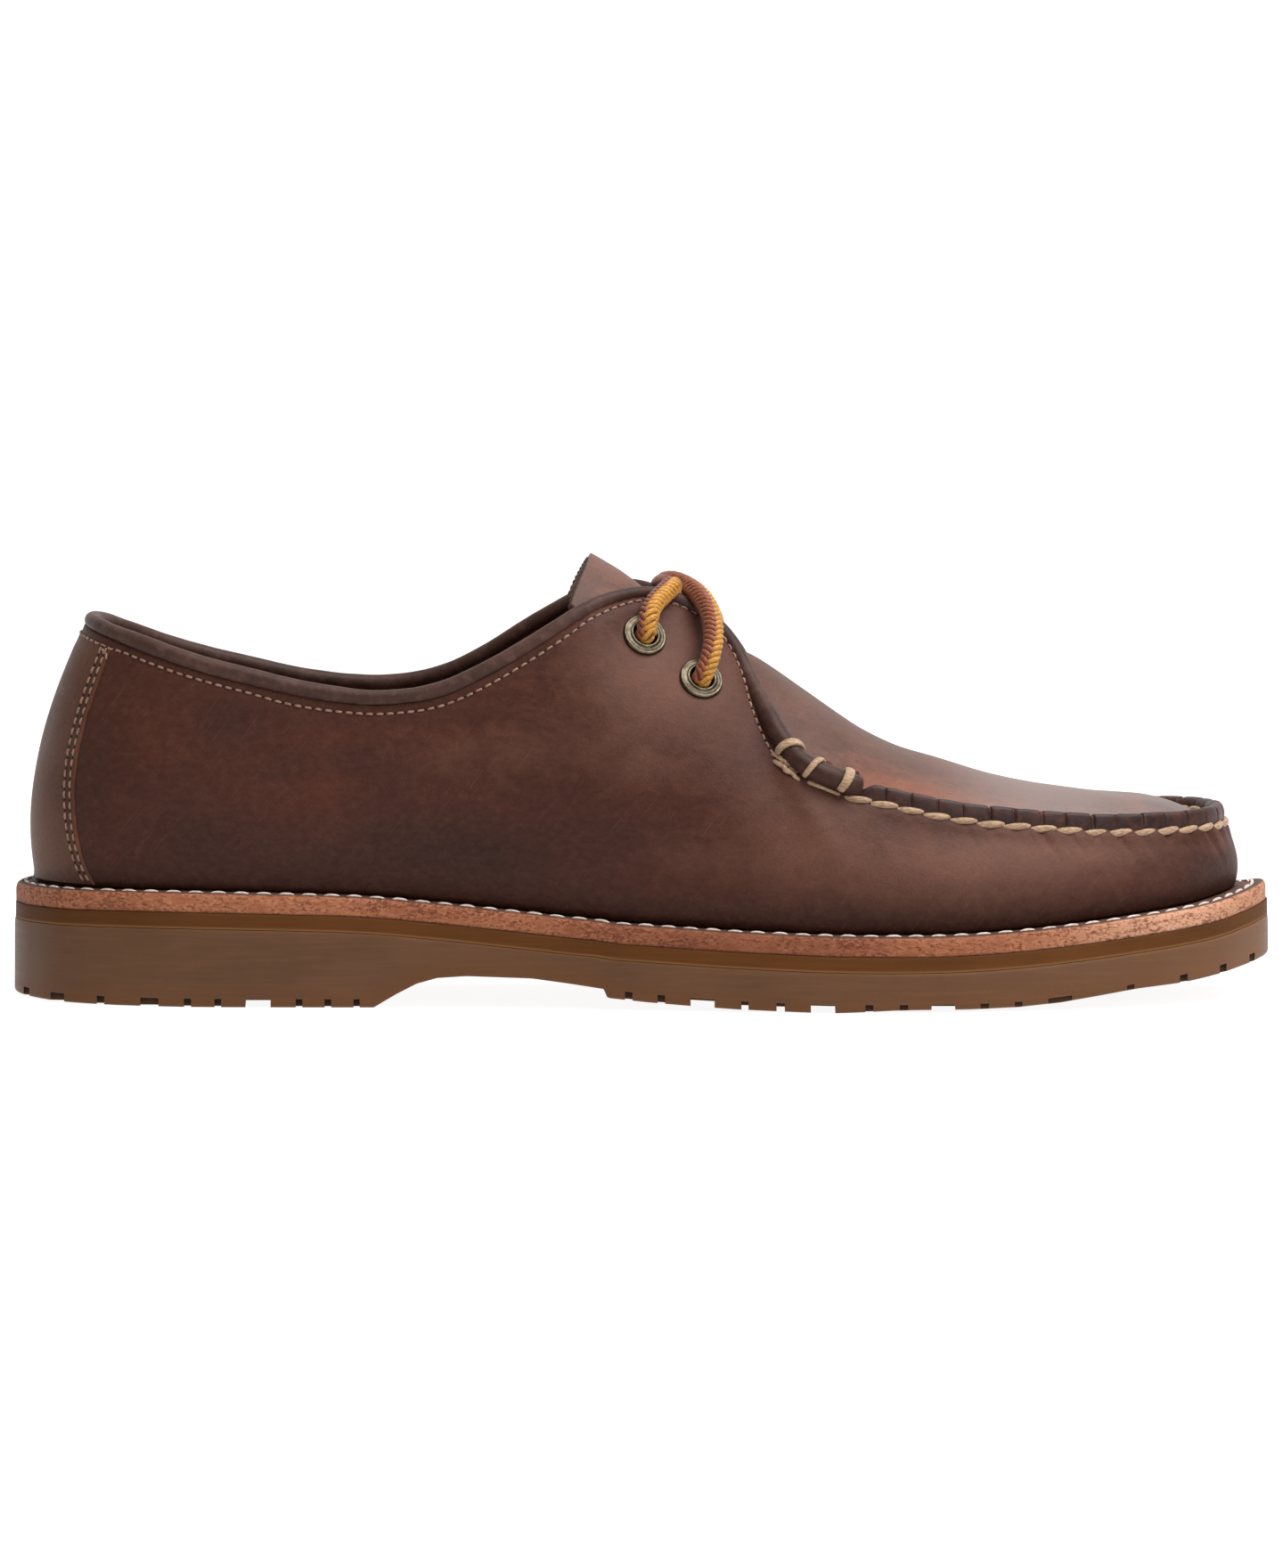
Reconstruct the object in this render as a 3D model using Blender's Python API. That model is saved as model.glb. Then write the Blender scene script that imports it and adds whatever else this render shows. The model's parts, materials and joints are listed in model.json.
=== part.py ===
"""Moccasin-toe oxford shoe, right foot, about 305 mm over the sole.

The shoe is worked out in last coordinates, in millimetres: x runs from the
back of the heel to the toe, y is positive on the medial (inner) side and
negative on the lateral (outer) side, z is up from the floor.  At the end the
whole shoe is centred over the origin and written in metres.
"""
import bpy
import bmesh
import math
from bisect import bisect_right
from mathutils import Vector
from mathutils.bvhtree import BVHTree

# ---------------------------------------------------------------- dimensions
SOLE_LENGTH = 305.0        # over the outsole
GAP = 0.3                  # left between pieces that touch
UPPER_WALL = 2.2           # leather plus lining
WELT_THICK = 4.6
MIDSOLE_THICK = 3.5
INSOLE_THICK = 4.4
LUG_DEPTH = 2.1
TONGUE_THICK = 2.4
BINDING_R = 1.9            # rolled edge of collar and tabs
ROLL_R = 2.75              # the thick roll beside each throat corner
RIDGE_WIDTH = 3.8          # raised moccasin seam
RIDGE_HEIGHT = 3.4
EYELET_OUTER_R = 5.1
EYELET_HOLE_R = 2.95
EYELET_BARREL_R = 3.5
EYELET_CUT_R = 3.85
LACE_R = 2.35

SEAM_X0, SEAM_X1 = 189.5, 294.3    # moccasin seam, throat corner to toe
THROAT_STATION = 203.0             # sole station below the throat corner
POLE_X = 262.0                     # front end of the apron's spine

# sole outline: x, lateral y, medial y
OUTLINE = [
    (0.0, 0.0, 0.0),
    (4.0, -16.0, 15.5),
    (11.0, -26.0, 26.0),
    (22.0, -32.5, 32.0),
    (40.0, -37.0, 36.5),
    (70.0, -38.5, 36.0),
    (100.0, -39.0, 33.5),
    (125.0, -41.5, 34.0),
    (150.0, -46.0, 38.5),
    (175.0, -51.0, 44.5),
    (195.0, -54.0, 48.5),
    (215.0, -54.0, 51.0),
    (240.0, -50.2, 50.5),
    (262.0, -43.5, 46.5),
    (280.0, -34.5, 39.5),
    (292.0, -24.0, 31.0),
    (300.0, -12.0, 21.5),
    (305.0, 5.0, 5.0),
]
# heights along the sole: x, tread level, top of the welt
HEIGHTS = [
    (0.0, 0.8, 27.6),
    (10.0, 0.4, 27.8),
    (25.0, 0.15, 27.9),
    (42.0, 0.0, 27.8),
    (60.0, 0.0, 27.5),
    (88.0, 0.0, 26.6),
    (93.0, 2.7, 26.2),
    (98.0, 5.3, 25.7),
    (103.0, 6.7, 25.3),
    (110.0, 7.3, 24.6),
    (126.0, 7.0, 23.0),
    (135.0, 6.0, 22.1),
    (143.6, 5.0, 21.3),
    (144.2, 2.9, 21.2),
    (154.0, 2.0, 20.5),
    (163.0, 1.4, 20.0),
    (175.0, 0.7, 19.4),
    (186.0, 0.35, 19.0),
    (198.0, 0.0, 18.6),
    (213.0, 0.0, 18.4),
    (232.0, 0.0, 18.6),
    (244.0, 0.35, 19.3),
    (254.0, 1.2, 20.1),
    (262.0, 2.3, 20.9),
    (273.0, 3.9, 22.1),
    (283.0, 5.2, 23.2),
    (293.0, 6.8, 24.6),
    (300.0, 8.3, 26.3),
    (305.0, 9.6, 27.9),
]
# inset of the upper's bottom edge from the sole outline: station, inset
FEATHER = [(0.0, 5.3), (40.0, 5.6), (120.0, 5.8), (200.0, 6.8), (270.0, 7.4), (305.0, 7.8)]
# upper edge of the quarters, outer face: sole station, x, y, z
COLLAR = [
    (0.0, 17.0, 0.0, 89.7),
    (4.0, 20.8, 14.6, 88.4),
    (12.0, 29.2, 22.4, 85.2),
    (27.0, 40.5, 27.3, 81.3),
    (49.0, 56.0, 29.7, 77.2),
    (72.0, 74.0, 31.1, 73.5),
    (92.0, 91.0, 32.1, 72.7),
    (108.0, 104.5, 32.1, 74.6),
    (122.0, 116.5, 31.4, 79.6),
    (134.0, 126.0, 30.2, 84.8),
    (145.0, 134.6, 28.2, 90.3),
    (154.0, 141.6, 24.8, 94.6),
    (161.0, 148.6, 19.6, 97.3),
    (167.0, 154.2, 15.6, 97.7),
    (173.0, 160.6, 12.8, 96.0),
    (178.0, 166.6, 11.9, 92.8),
    (183.0, 171.8, 12.8, 88.4),
    (187.0, 175.2, 15.0, 83.6),
    (191.0, 178.0, 18.8, 78.2),
    (195.0, 180.8, 24.6, 72.6),
    (199.0, 184.2, 31.2, 66.2),
    (203.0, 189.5, 37.4, 58.0),
]
# how much higher the medial collar stands than the lateral one: sole station, rise
MEDIAL_RISE = [(0.0, 0.0), (12.0, -0.7), (40.0, -1.0), (72.0, -1.1), (92.0, -1.4), (112.0, -0.7),
               (124.0, 0.5), (137.0, 1.5), (148.0, 0.3), (160.0, -2.0), (185.0, -1.0), (203.0, 0.0)]
# shape of the side wall: station, outward and up at the bottom, outward and down at the top
WALL = [
    (0.0, 4.2, 20.0, 9.4, 19.0),
    (12.0, 4.0, 19.0, 5.5, 18.0),
    (27.0, 3.8, 17.0, 3.0, 16.0),
    (49.0, 3.5, 15.0, 1.8, 15.0),
    (72.0, 3.5, 14.0, 1.5, 14.0),
    (92.0, 3.5, 14.0, 1.5, 14.0),
    (108.0, 3.6, 15.0, 2.0, 15.0),
    (122.0, 3.8, 17.0, 3.5, 16.0),
    (134.0, 4.0, 19.0, 6.0, 17.0),
    (145.0, 4.0, 21.0, 9.0, 17.0),
    (154.0, 4.0, 23.0, 12.0, 16.0),
    (161.0, 4.0, 24.0, 14.0, 15.0),
    (167.0, 4.3, 24.5, 15.5, 13.5),
    (173.0, 4.6, 24.5, 16.5, 12.5),
    (178.0, 5.0, 24.0, 17.0, 12.0),
    (187.0, 5.0, 21.5, 15.0, 12.5),
    (195.0, 5.0, 18.0, 11.0, 12.5),
    (203.0, 4.8, 14.5, 7.5, 9.5),
    (222.0, 4.2, 11.5, 6.0, 7.5),
    (245.0, 3.6, 9.5, 4.5, 6.0),
    (270.0, 3.1, 8.5, 3.8, 5.2),
    (290.0, 3.2, 7.5, 3.3, 5.0),
    (305.0, 2.6, 6.8, 2.0, 5.0),
]
# moccasin seam, outer foot of the ridge: x, lateral y, medial y, z
SEAM = [
    (189.5, -37.4, 36.6, 58.0),
    (196.0, -38.2, 37.6, 54.2),
    (203.0, -38.6, 38.6, 51.6),
    (212.0, -38.4, 39.2, 49.6),
    (224.0, -37.2, 39.2, 46.8),
    (238.0, -34.8, 38.2, 44.6),
    (251.0, -31.8, 36.4, 43.5),
    (263.0, -28.0, 33.6, 42.6),
    (275.0, -22.8, 29.4, 42.4),
    (283.5, -17.6, 25.0, 42.5),
    (290.0, -10.8, 19.0, 42.7),
    (294.3, 4.5, 4.5, 42.8),
]
# apron along its spine: x, z
SPINE = [
    (184.0, 79.6), (191.5, 74.8), (202.0, 67.4), (213.0, 61.7), (224.0, 57.8),
    (235.0, 54.2), (246.0, 51.6), (257.0, 49.8), (267.0, 48.6), (275.0, 47.6),
    (283.0, 46.0), (291.0, 43.6),
]
# tongue from its root behind the apron to its free end: x, z, half width, arch
TONGUE = [
    (183.6, 79.6, 30.5, 0.0150),
    (181.0, 80.9, 25.5, 0.0200),
    (177.5, 82.3, 20.5, 0.0290),
    (173.0, 83.9, 16.0, 0.0390),
    (168.0, 86.0, 13.8, 0.0440),
    (162.0, 90.4, 14.6, 0.0420),
    (155.0, 97.2, 18.4, 0.0320),
    (148.0, 102.7, 20.6, 0.0290),
    (143.0, 105.8, 20.8, 0.0285),
    (139.6, 107.7, 20.4, 0.0285),
]
# slots across the sole's edge: first x, last x, reach inward
SLOTS = [                     # first x, last x, reach inward
    (2.4, 3.8, 3.5), (9.1, 12.4, 4.0), (20.4, 22.2, 4.5), (31.0, 35.4, 5.0),
    (41.6, 43.3, 4.5), (49.0, 50.6, 4.5), (56.5, 62.6, 20.0), (68.7, 70.3, 4.5),
    (75.7, 77.3, 4.5), (82.7, 84.2, 4.5),
    (148.5, 150.3, 4.5), (156.4, 158.2, 4.5), (164.4, 170.2, 18.0), (176.7, 178.4, 13.0),
    (185.2, 187.2, 14.0), (193.5, 199.4, 20.0), (206.7, 208.6, 4.5), (215.0, 217.0, 5.0),
    (222.7, 228.5, 19.0), (234.6, 236.6, 4.5), (242.9, 244.7, 4.0), (251.0, 256.8, 5.5),
    (270.2, 271.9, 3.5), (283.1, 284.9, 3.5),
]
# recesses in the middle of the tread: first x, last x, lateral y, medial y
WELLS = [
    (18.0, 27.0, -11.0, 11.0), (66.0, 78.0, -14.0, 13.0),
    (154.0, 163.0, -22.0, 16.0), (173.0, 189.0, -26.0, 21.0),
    (202.5, 219.5, -28.0, 25.0), (231.0, 247.0, -24.0, 25.0), (260.0, 276.0, -15.0, 19.0),
]
# eyelets on the lateral side: name, x, z
EYELETS = [("upper", 153.3, 89.4), ("lower", 167.0, 79.0)]

# lace from lateral lower to medial upper eyelet, over the other one: x, y, z
LACE_OVER = [
    (171.0, -27.0, 86.5), (171.2, -23.0, 92.4), (169.8, -17.2, 96.9), (167.6, -12.5, 99.7),
    (164.6, -7.5, 101.2), (161.4, -2.0, 101.8), (158.6, 4.0, 101.2), (156.6, 9.5, 100.2),
    (155.0, 15.2, 98.0), (153.8, 20.8, 94.4),
]
# lace from lateral upper to medial lower eyelet, under the other one
LACE_UNDER = [
    (153.8, -26.4, 93.2), (155.2, -22.6, 97.4), (157.3, -17.8, 100.4), (159.8, -12.6, 101.6),
    (162.2, -7.0, 100.2), (163.9, -1.5, 98.4), (165.6, 4.0, 98.2), (167.6, 9.5, 98.2),
    (169.5, 14.8, 96.0), (170.8, 20.2, 91.4), (170.8, 24.6, 85.6),
]
# lace between the two lower eyelets, under the tabs and over the tongue
LACE_BAR = [
    (168.0, -15.6, 80.0), (168.3, -12.0, 85.0), (168.4, -7.0, 88.6), (168.4, 0.0, 89.8),
    (168.4, 7.0, 88.2), (168.3, 12.0, 84.4), (168.0, 15.6, 79.4),
]

MATERIALS = {                      # base colour, roughness, metallic
    "gum_rubber": ((0.105, 0.055, 0.030), 0.45, 0.0),
    "midsole_layer": ((0.075, 0.038, 0.018), 0.60, 0.0),
    "welt_leather": ((0.330, 0.155, 0.075), 0.60, 0.0),
    "upper_leather": ((0.120, 0.052, 0.034), 0.45, 0.0),
    "binding_leather": ((0.070, 0.028, 0.018), 0.50, 0.0),
    "insole_leather": ((0.160, 0.085, 0.050), 0.70, 0.0),
    "brass": ((0.330, 0.190, 0.095), 0.35, 1.0),
    "lace_cord": ((0.300, 0.120, 0.045), 0.70, 0.0),
}


# ---------------------------------------------------------------- mathematics
def hermite(xs, ys, x):
    """Smooth curve through (xs, ys); flat ends run on straight."""
    n = len(xs)
    if x <= xs[0]:
        return ys[0]
    if x >= xs[-1]:
        return ys[-1]
    i = bisect_right(xs, x) - 1
    h = xs[i + 1] - xs[i]
    t = (x - xs[i]) / h

    def slope(k):
        if k == 0:
            return (ys[1] - ys[0]) / (xs[1] - xs[0])
        if k == n - 1:
            return (ys[-1] - ys[-2]) / (xs[-1] - xs[-2])
        a = (ys[k] - ys[k - 1]) / (xs[k] - xs[k - 1])
        b = (ys[k + 1] - ys[k]) / (xs[k + 1] - xs[k])
        ha, hb = xs[k] - xs[k - 1], xs[k + 1] - xs[k]
        return (a * hb + b * ha) / (ha + hb)

    m0, m1 = slope(i) * h, slope(i + 1) * h
    return ((1 + 2 * t) * (1 - t) ** 2 * ys[i] + t * (1 - t) ** 2 * m0
            + t * t * (3 - 2 * t) * ys[i + 1] + t * t * (t - 1) * m1)


def column(table, key, value):
    return [row[key] for row in table], [row[value] for row in table]


def smooth(a, b, x):
    t = min(1.0, max(0.0, (x - a) / (b - a)))
    return t * t * (3 - 2 * t)


def mix(a, b, t):
    return a + (b - a) * t


# --------------------------------------------------------- sole outline, feather
def angle_at(station):
    """Outline angle, 0 at the heel and pi at the toe, for a station along the sole."""
    return math.acos(max(-1.0, min(1.0, 1.0 - 2.0 * station / SOLE_LENGTH)))


def station_at(psi):
    return SOLE_LENGTH * (1.0 - math.cos(psi)) / 2.0


_ring = ([(-angle_at(r[0]), r[1]) for r in reversed(OUTLINE)]
         + [(angle_at(r[0]), r[2]) for r in OUTLINE[1:]])
_ring_a = ([_ring[-2][0] - 2 * math.pi] + [a for a, y in _ring] + [_ring[1][0] + 2 * math.pi])
_ring_y = ([_ring[-2][1]] + [y for a, y in _ring] + [_ring[1][1]])


def outline(psi):
    """Widest outline of the sole; psi is negative on the lateral side."""
    return Vector((station_at(psi), hermite(_ring_a, _ring_y, psi), 0.0))


def outline_normal(psi):
    e = 0.004
    t = outline(min(math.pi, psi + e)) - outline(max(-math.pi, psi - e))
    if abs(psi) > math.pi - e:
        return Vector((1.0, 0.0, 0.0))
    return Vector((-t.y, t.x, 0.0)).normalized()


def outward(psi):
    """Unit vector pointing out of the outline, in plan."""
    n = outline_normal(psi)
    return n if n.dot(outline(psi) - Vector((150.0, 0.0, 0.0))) > 0 else -n


def inset(psi, d):
    return outline(psi) - outward(psi) * d


_heights = {name: column(HEIGHTS, 0, k) for k, name in enumerate(("x", "tread", "welt"))}


def tread_z(x):
    """Straight between stations where the tread is flat, smooth elsewhere."""
    xs, zs = _heights["tread"]
    if 42.0 <= x <= 88.0 or 198.0 <= x <= 232.0:
        return 0.0
    i = max(0, min(len(xs) - 2, bisect_right(xs, x) - 1))
    return mix(zs[i], zs[i + 1], min(1.0, max(0.0, (x - xs[i]) / (xs[i + 1] - xs[i]))))


def welt_z(x):
    return hermite(*_heights["welt"], x)


def feather_inset(psi):
    return hermite(*column(FEATHER, 0, 1), station_at(psi))


WELT_EDGE_INSET = 1.7              # of the welt's top edge
WELT_REACH = 8.0                   # of the welt inside the upper's edge


def on_welt(psi, d, rise):
    """Point above the welt's flat top, at inset d from the sole outline."""
    inner = feather_inset(psi) + WELT_REACH
    a, b = inset(psi, WELT_EDGE_INSET), inset(psi, inner)
    t = (d - WELT_EDGE_INSET) / (inner - WELT_EDGE_INSET)
    p = inset(psi, d)
    p.z = mix(welt_z(a.x), welt_z(b.x), t) + rise
    return p


def feather(psi):
    """Bottom edge of the upper, outer face, standing on the welt."""
    return on_welt(psi, feather_inset(psi), GAP + 0.1)


# ------------------------------------------------------------- top edges, walls
THROAT = angle_at(THROAT_STATION)


def medial_rise(station):
    return hermite(*column(MEDIAL_RISE, 0, 1), station)


def mirrored_table(table, key, value, odd=False, rise=False):
    """A table over the station turned into one over the signed outline angle."""
    left = [(-angle_at(r[key]), (-r[value] if odd else r[value])) for r in reversed(table)]
    right = [(angle_at(r[key]), r[value] + (medial_rise(r[key]) if rise else 0.0))
             for r in table[1:]]
    rows = left + right
    return [r[0] for r in rows], [r[1] for r in rows]


_cx = mirrored_table(COLLAR, 0, 1)
_cy = mirrored_table(COLLAR, 0, 2, odd=True)
_cz = mirrored_table(COLLAR, 0, 3, rise=True)


def seam_angle(psi):
    """0 at the throat corners, 1 at the toe."""
    return max(0.0, (abs(psi) - THROAT) / (math.pi - THROAT))


def seam_omega(x):
    return 1.0 - math.asin(max(0.0, min(1.0, (x - SEAM_X0) / (SEAM_X1 - SEAM_X0)))) * 2 / math.pi


_so = ([(-seam_omega(r[0]), r[1]) for r in SEAM]
       + [(seam_omega(r[0]), r[2]) for r in reversed(SEAM[:-1])])
_sz = ([(-seam_omega(r[0]), r[3]) for r in SEAM]
       + [(seam_omega(r[0]), r[3]) for r in reversed(SEAM[:-1])])
_so = ([a for a, v in _so], [v for a, v in _so])
_sz = ([a for a, v in _sz], [v for a, v in _sz])


def seam_foot(omega):
    """Outer foot of the moccasin seam; omega is -1 and 1 at the throat, 0 at the toe."""
    w = 1.0 - abs(omega)
    x = SEAM_X0 + (SEAM_X1 - SEAM_X0) * math.sin(w * math.pi / 2)
    return Vector((x, hermite(*_so, omega), hermite(*_sz, omega)))


def seam_inward(omega):
    """Unit vector from the seam towards the apron, in plan."""
    e = 0.01
    a, b = seam_foot(max(-1.0, omega - e)), seam_foot(min(1.0, omega + e))
    t = b - a
    n = Vector((-t.y, t.x, 0.0)).normalized()
    return n if n.dot(Vector((POLE_X - 30.0, 3.0, 0.0)) - seam_foot(omega)) > 0 else -n


def omega_of(psi):
    w = seam_angle(psi)
    return (w - 1.0) if psi < 0 else (1.0 - w)


def top_edge(psi):
    """Top of the side wall: collar and tabs behind the throat, seam in front."""
    if abs(psi) <= THROAT:
        return Vector((hermite(*_cx, psi), hermite(*_cy, psi), hermite(*_cz, psi)))
    return seam_foot(omega_of(psi))


_wall = [column(WALL, 0, k) for k in range(5)]


def wall_point(psi, t):
    """Outer face of vamp and quarters; t is 0 at the welt and 1 at the top edge."""
    s = station_at(psi)
    f, e, n = feather(psi), top_edge(psi), outward(psi)
    a1, b1, a2, b2 = (hermite(*_wall[k], s) for k in (1, 2, 3, 4))
    p1 = f + n * a1 + Vector((0, 0, b1))
    p2 = e + n * a2 - Vector((0, 0, b2))
    u = 1.0 - t
    return f * u ** 3 + p1 * (3 * u * u * t) + p2 * (3 * u * t * t) + e * t ** 3


# ------------------------------------------------------------------- the apron
_spine = column(SPINE, 0, 1)


def apron_edge(omega):
    p = seam_foot(omega)
    q = p + seam_inward(omega) * RIDGE_WIDTH
    return Vector((q.x, q.y, p.z))


def apron_root(omega):
    """Point on the spine, the same for both sides; the front rays share one pole."""
    seam_x = seam_foot(omega).x
    x = min(POLE_X, mix(184.0, POLE_X, (seam_x - SEAM_X0) / (POLE_X + 6.0 - SEAM_X0)))
    return Vector((x, mix(0.0, 4.5, smooth(190, 270, x)), 0.0))


def apron_point(omega, r):
    """Outer face of the apron: r is 0 on the spine and 1 at the seam."""
    c, e = apron_root(omega), apron_edge(omega)
    x, y = mix(c.x, e.x, r), mix(c.y, e.y, r)
    g = r ** 2.1
    return Vector((x, y, mix(hermite(*_spine, x), e.z, g)))


def ridge_height(omega):
    x = seam_foot(omega).x
    return mix(0.7, RIDGE_HEIGHT, smooth(203.0, 210.0, x))


# ------------------------------------------------------------------ mesh helpers
def material(name):
    found = bpy.data.materials.get(name)
    if found:
        return found
    colour, rough, metal = MATERIALS[name]
    m = bpy.data.materials.new(name)
    m.use_nodes = True
    p = m.node_tree.nodes["Principled BSDF"]
    p.inputs["Base Color"].default_value = (*colour, 1.0)
    p.inputs["Roughness"].default_value = rough
    p.inputs["Metallic"].default_value = metal
    m.diffuse_color = (*colour, 1.0)
    return m


def make_object(name, verts, faces, mat, sharp=40.0):
    me = bpy.data.meshes.new(name)
    me.from_pydata([tuple(v) for v in verts], [], faces)
    bm = bmesh.new()
    bm.from_mesh(me)
    bmesh.ops.remove_doubles(bm, verts=bm.verts, dist=0.0005)
    bmesh.ops.dissolve_degenerate(bm, edges=bm.edges, dist=0.0005)
    bmesh.ops.recalc_face_normals(bm, faces=bm.faces)
    bm.to_mesh(me)
    bm.free()
    me.update()
    ob = bpy.data.objects.new(name, me)
    bpy.context.scene.collection.objects.link(ob)
    if mat:
        me.materials.append(material(mat))
    me.shade_smooth()
    me.set_sharp_from_angle(angle=math.radians(sharp))
    return ob


def apply_boolean(ob, cutter, operation):
    mod = ob.modifiers.new(operation.lower(), "BOOLEAN")
    mod.operation = operation
    mod.solver = "EXACT"
    mod.object = cutter
    dg = bpy.context.evaluated_depsgraph_get()
    me = bpy.data.meshes.new_from_object(ob.evaluated_get(dg))
    ob.modifiers.remove(mod)
    old = ob.data
    ob.data = me
    bpy.data.meshes.remove(old)
    bpy.data.objects.remove(cutter, do_unlink=True)


def ring_stack(name, rings, mat, sharp=40.0, ladder=True):
    """Closed solid through rings that share their angles; ends are closed in strips."""
    n = len(rings[0])
    verts = [p for ring in rings for p in ring]
    faces = []
    for k in range(len(rings) - 1):
        for i in range(n):
            j = (i + 1) % n
            faces.append((k * n + i, k * n + j, (k + 1) * n + j, (k + 1) * n + i))
    for base in ((0, (len(rings) - 1) * n) if ladder else ()):
        # index 0 is the toe, n/2 the heel; i and n-i face each other
        for i in range(n // 2):
            a, b = base + i, base + i + 1
            c, d = base + (n - i - 1) % n, base + (n - i) % n
            quad = [v for k, v in enumerate((a, b, c, d)) if v not in (a, b, c, d)[:k]]
            if len(quad) >= 3:
                faces.append(tuple(quad))
    return make_object(name, verts, faces, mat, sharp)


def angle_ring(xs):
    """Angles from the toe down the lateral side, round the heel and back up."""
    half = [angle_at(x) for x in xs]            # heel to toe
    return [-a for a in reversed(half)] + half[1:-1]


def spread(count, extra=(), near=0.8):
    """Stations along the sole, closer together at heel and toe, plus named ones."""
    base = [station_at(math.pi * k / count) for k in range(count + 1)]
    keep = [x for x in base if all(abs(x - e) > near for e in extra) or x in (0.0, SOLE_LENGTH)]
    return sorted(keep + list(extra))


def tube(name, path, radii, mat, sides=8, up=Vector((0, 0, 1))):
    """Closed tube along a path, with flat ends."""
    verts, faces = [], []
    frame = None
    n = len(path)
    for i, p in enumerate(path):
        t = (path[min(n - 1, i + 1)] - path[max(0, i - 1)]).normalized()
        if frame is None:
            side = t.cross(up).normalized()
        else:
            side = (frame - t * frame.dot(t)).normalized()
        frame = side
        other = t.cross(side)
        for k in range(sides):
            a = 2 * math.pi * k / sides
            verts.append(p + (side * math.cos(a) + other * math.sin(a)) * radii[i])
    for i in range(n - 1):
        for k in range(sides):
            m = (k + 1) % sides
            faces.append((i * sides + k, i * sides + m, (i + 1) * sides + m, (i + 1) * sides + k))
    faces.append(tuple(range(sides)))
    faces.append(tuple((n - 1) * sides + k for k in range(sides)))
    return make_object(name, verts, faces, mat)


def resample(points, spacing):
    """Smooth open curve through points, evenly spaced."""
    s = [0.0]
    for a, b in zip(points, points[1:]):
        s.append(s[-1] + (b - a).length)
    count = max(2, int(round(s[-1] / spacing)))
    out = []
    for k in range(count + 1):
        d = s[-1] * k / count
        out.append(Vector([hermite(s, [p[c] for p in points], d) for c in range(3)]))
    return out


# --------------------------------------------------------------------- the sole
SOLE_STATIONS = spread(34, (110.0, 143.0, 200.0))


def outsole_top(x):
    return welt_z(x) - WELT_THICK - MIDSOLE_THICK - 2 * GAP


def build_outsole():
    xs = spread(30, (42.0, 60.0, 74.0, 88.0, 90.5, 93.0, 98.0, 103.0, 110.0, 126.0, 135.0,
                     143.6, 144.2, 154.0, 163.0, 175.0, 186.0, 198.0, 215.0, 232.0, 244.0, 254.0))
    angles = angle_ring(xs)
    rings = []
    for level, d in (("top", 1.0), ("upper", 0.35), ("lower", 0.0), ("tread", 0.8)):
        ring = []
        for psi in angles:
            p = inset(psi, d)
            zt, zb = outsole_top(p.x), tread_z(p.x)
            p.z = {"top": zt, "upper": zt - 1.6, "lower": zb + 1.4, "tread": zb}[level]
            ring.append(p)
        rings.append(ring)
    ob = ring_stack("outsole", rings, "gum_rubber")
    verts, faces = [], []

    def block(x0, x1, y0, y1):
        n = len(verts)
        for x, y in ((x0, y0), (x1, y0), (x1, y1), (x0, y1)):
            verts.append(Vector((x, y, -4.0)))
        for x, y in ((x0, y0), (x1, y0), (x1, y1), (x0, y1)):
            verts.append(Vector((x, y, tread_z(x) + LUG_DEPTH)))
        for f in ((0, 3, 2, 1), (4, 5, 6, 7), (0, 1, 5, 4), (1, 2, 6, 5), (2, 3, 7, 6), (3, 0, 4, 7)):
            faces.append(tuple(n + k for k in f))

    for x0, x1, reach in SLOTS:
        mid = angle_at((x0 + x1) / 2)
        lat, med = outline(-mid).y, outline(mid).y
        wide = max(abs(outline(-angle_at(x1)).y), abs(outline(-angle_at(x0)).y), abs(lat))
        block(x0, x1, -wide - 6.0, lat + min(reach, abs(lat) * 0.62))
        wide = max(outline(angle_at(x1)).y, outline(angle_at(x0)).y, med)
        block(x0, x1, med - min(reach, med * 0.62), wide + 6.0)
    for x0, x1, y0, y1 in WELLS:
        block(x0, x1, y0, y1)
    cutter = make_object("lug_cutter", verts, faces, None)
    apply_boolean(ob, cutter, "DIFFERENCE")
    return ob


def build_midsole():
    angles = angle_ring(SOLE_STATIONS)
    rings = []
    for d, up in ((1.0, 0.0), (0.5, 0.5), (0.5, MIDSOLE_THICK - 0.5), (1.0, MIDSOLE_THICK)):
        ring = []
        for psi in angles:
            p = inset(psi, d)
            p.z = outsole_top(p.x) + GAP + up
            ring.append(p)
        rings.append(ring)
    return ring_stack("midsole", rings, "midsole_layer")


def build_welt():
    """A closed strip: outer edge, top, inner edge inside the upper, underside."""
    angles = angle_ring(SOLE_STATIONS)
    n = len(angles)
    profile = ((1.4, -WELT_THICK), (0.8, -WELT_THICK + 0.6), (1.0, -0.8), (WELT_EDGE_INSET, 0.0),
               (None, 0.0), (None, -WELT_THICK))
    verts, faces = [], []
    for d, up in profile:
        for psi in angles:
            depth = d if d is not None else feather_inset(psi) + WELT_REACH
            p = inset(psi, depth)
            p.z = welt_z(p.x) + up
            verts.append(p)
    m = len(profile)
    for k in range(m):
        for i in range(n):
            j = (i + 1) % n
            faces.append((k * n + i, k * n + j, ((k + 1) % m) * n + j, ((k + 1) % m) * n + i))
    return make_object("welt", verts, faces, "welt_leather")


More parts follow.
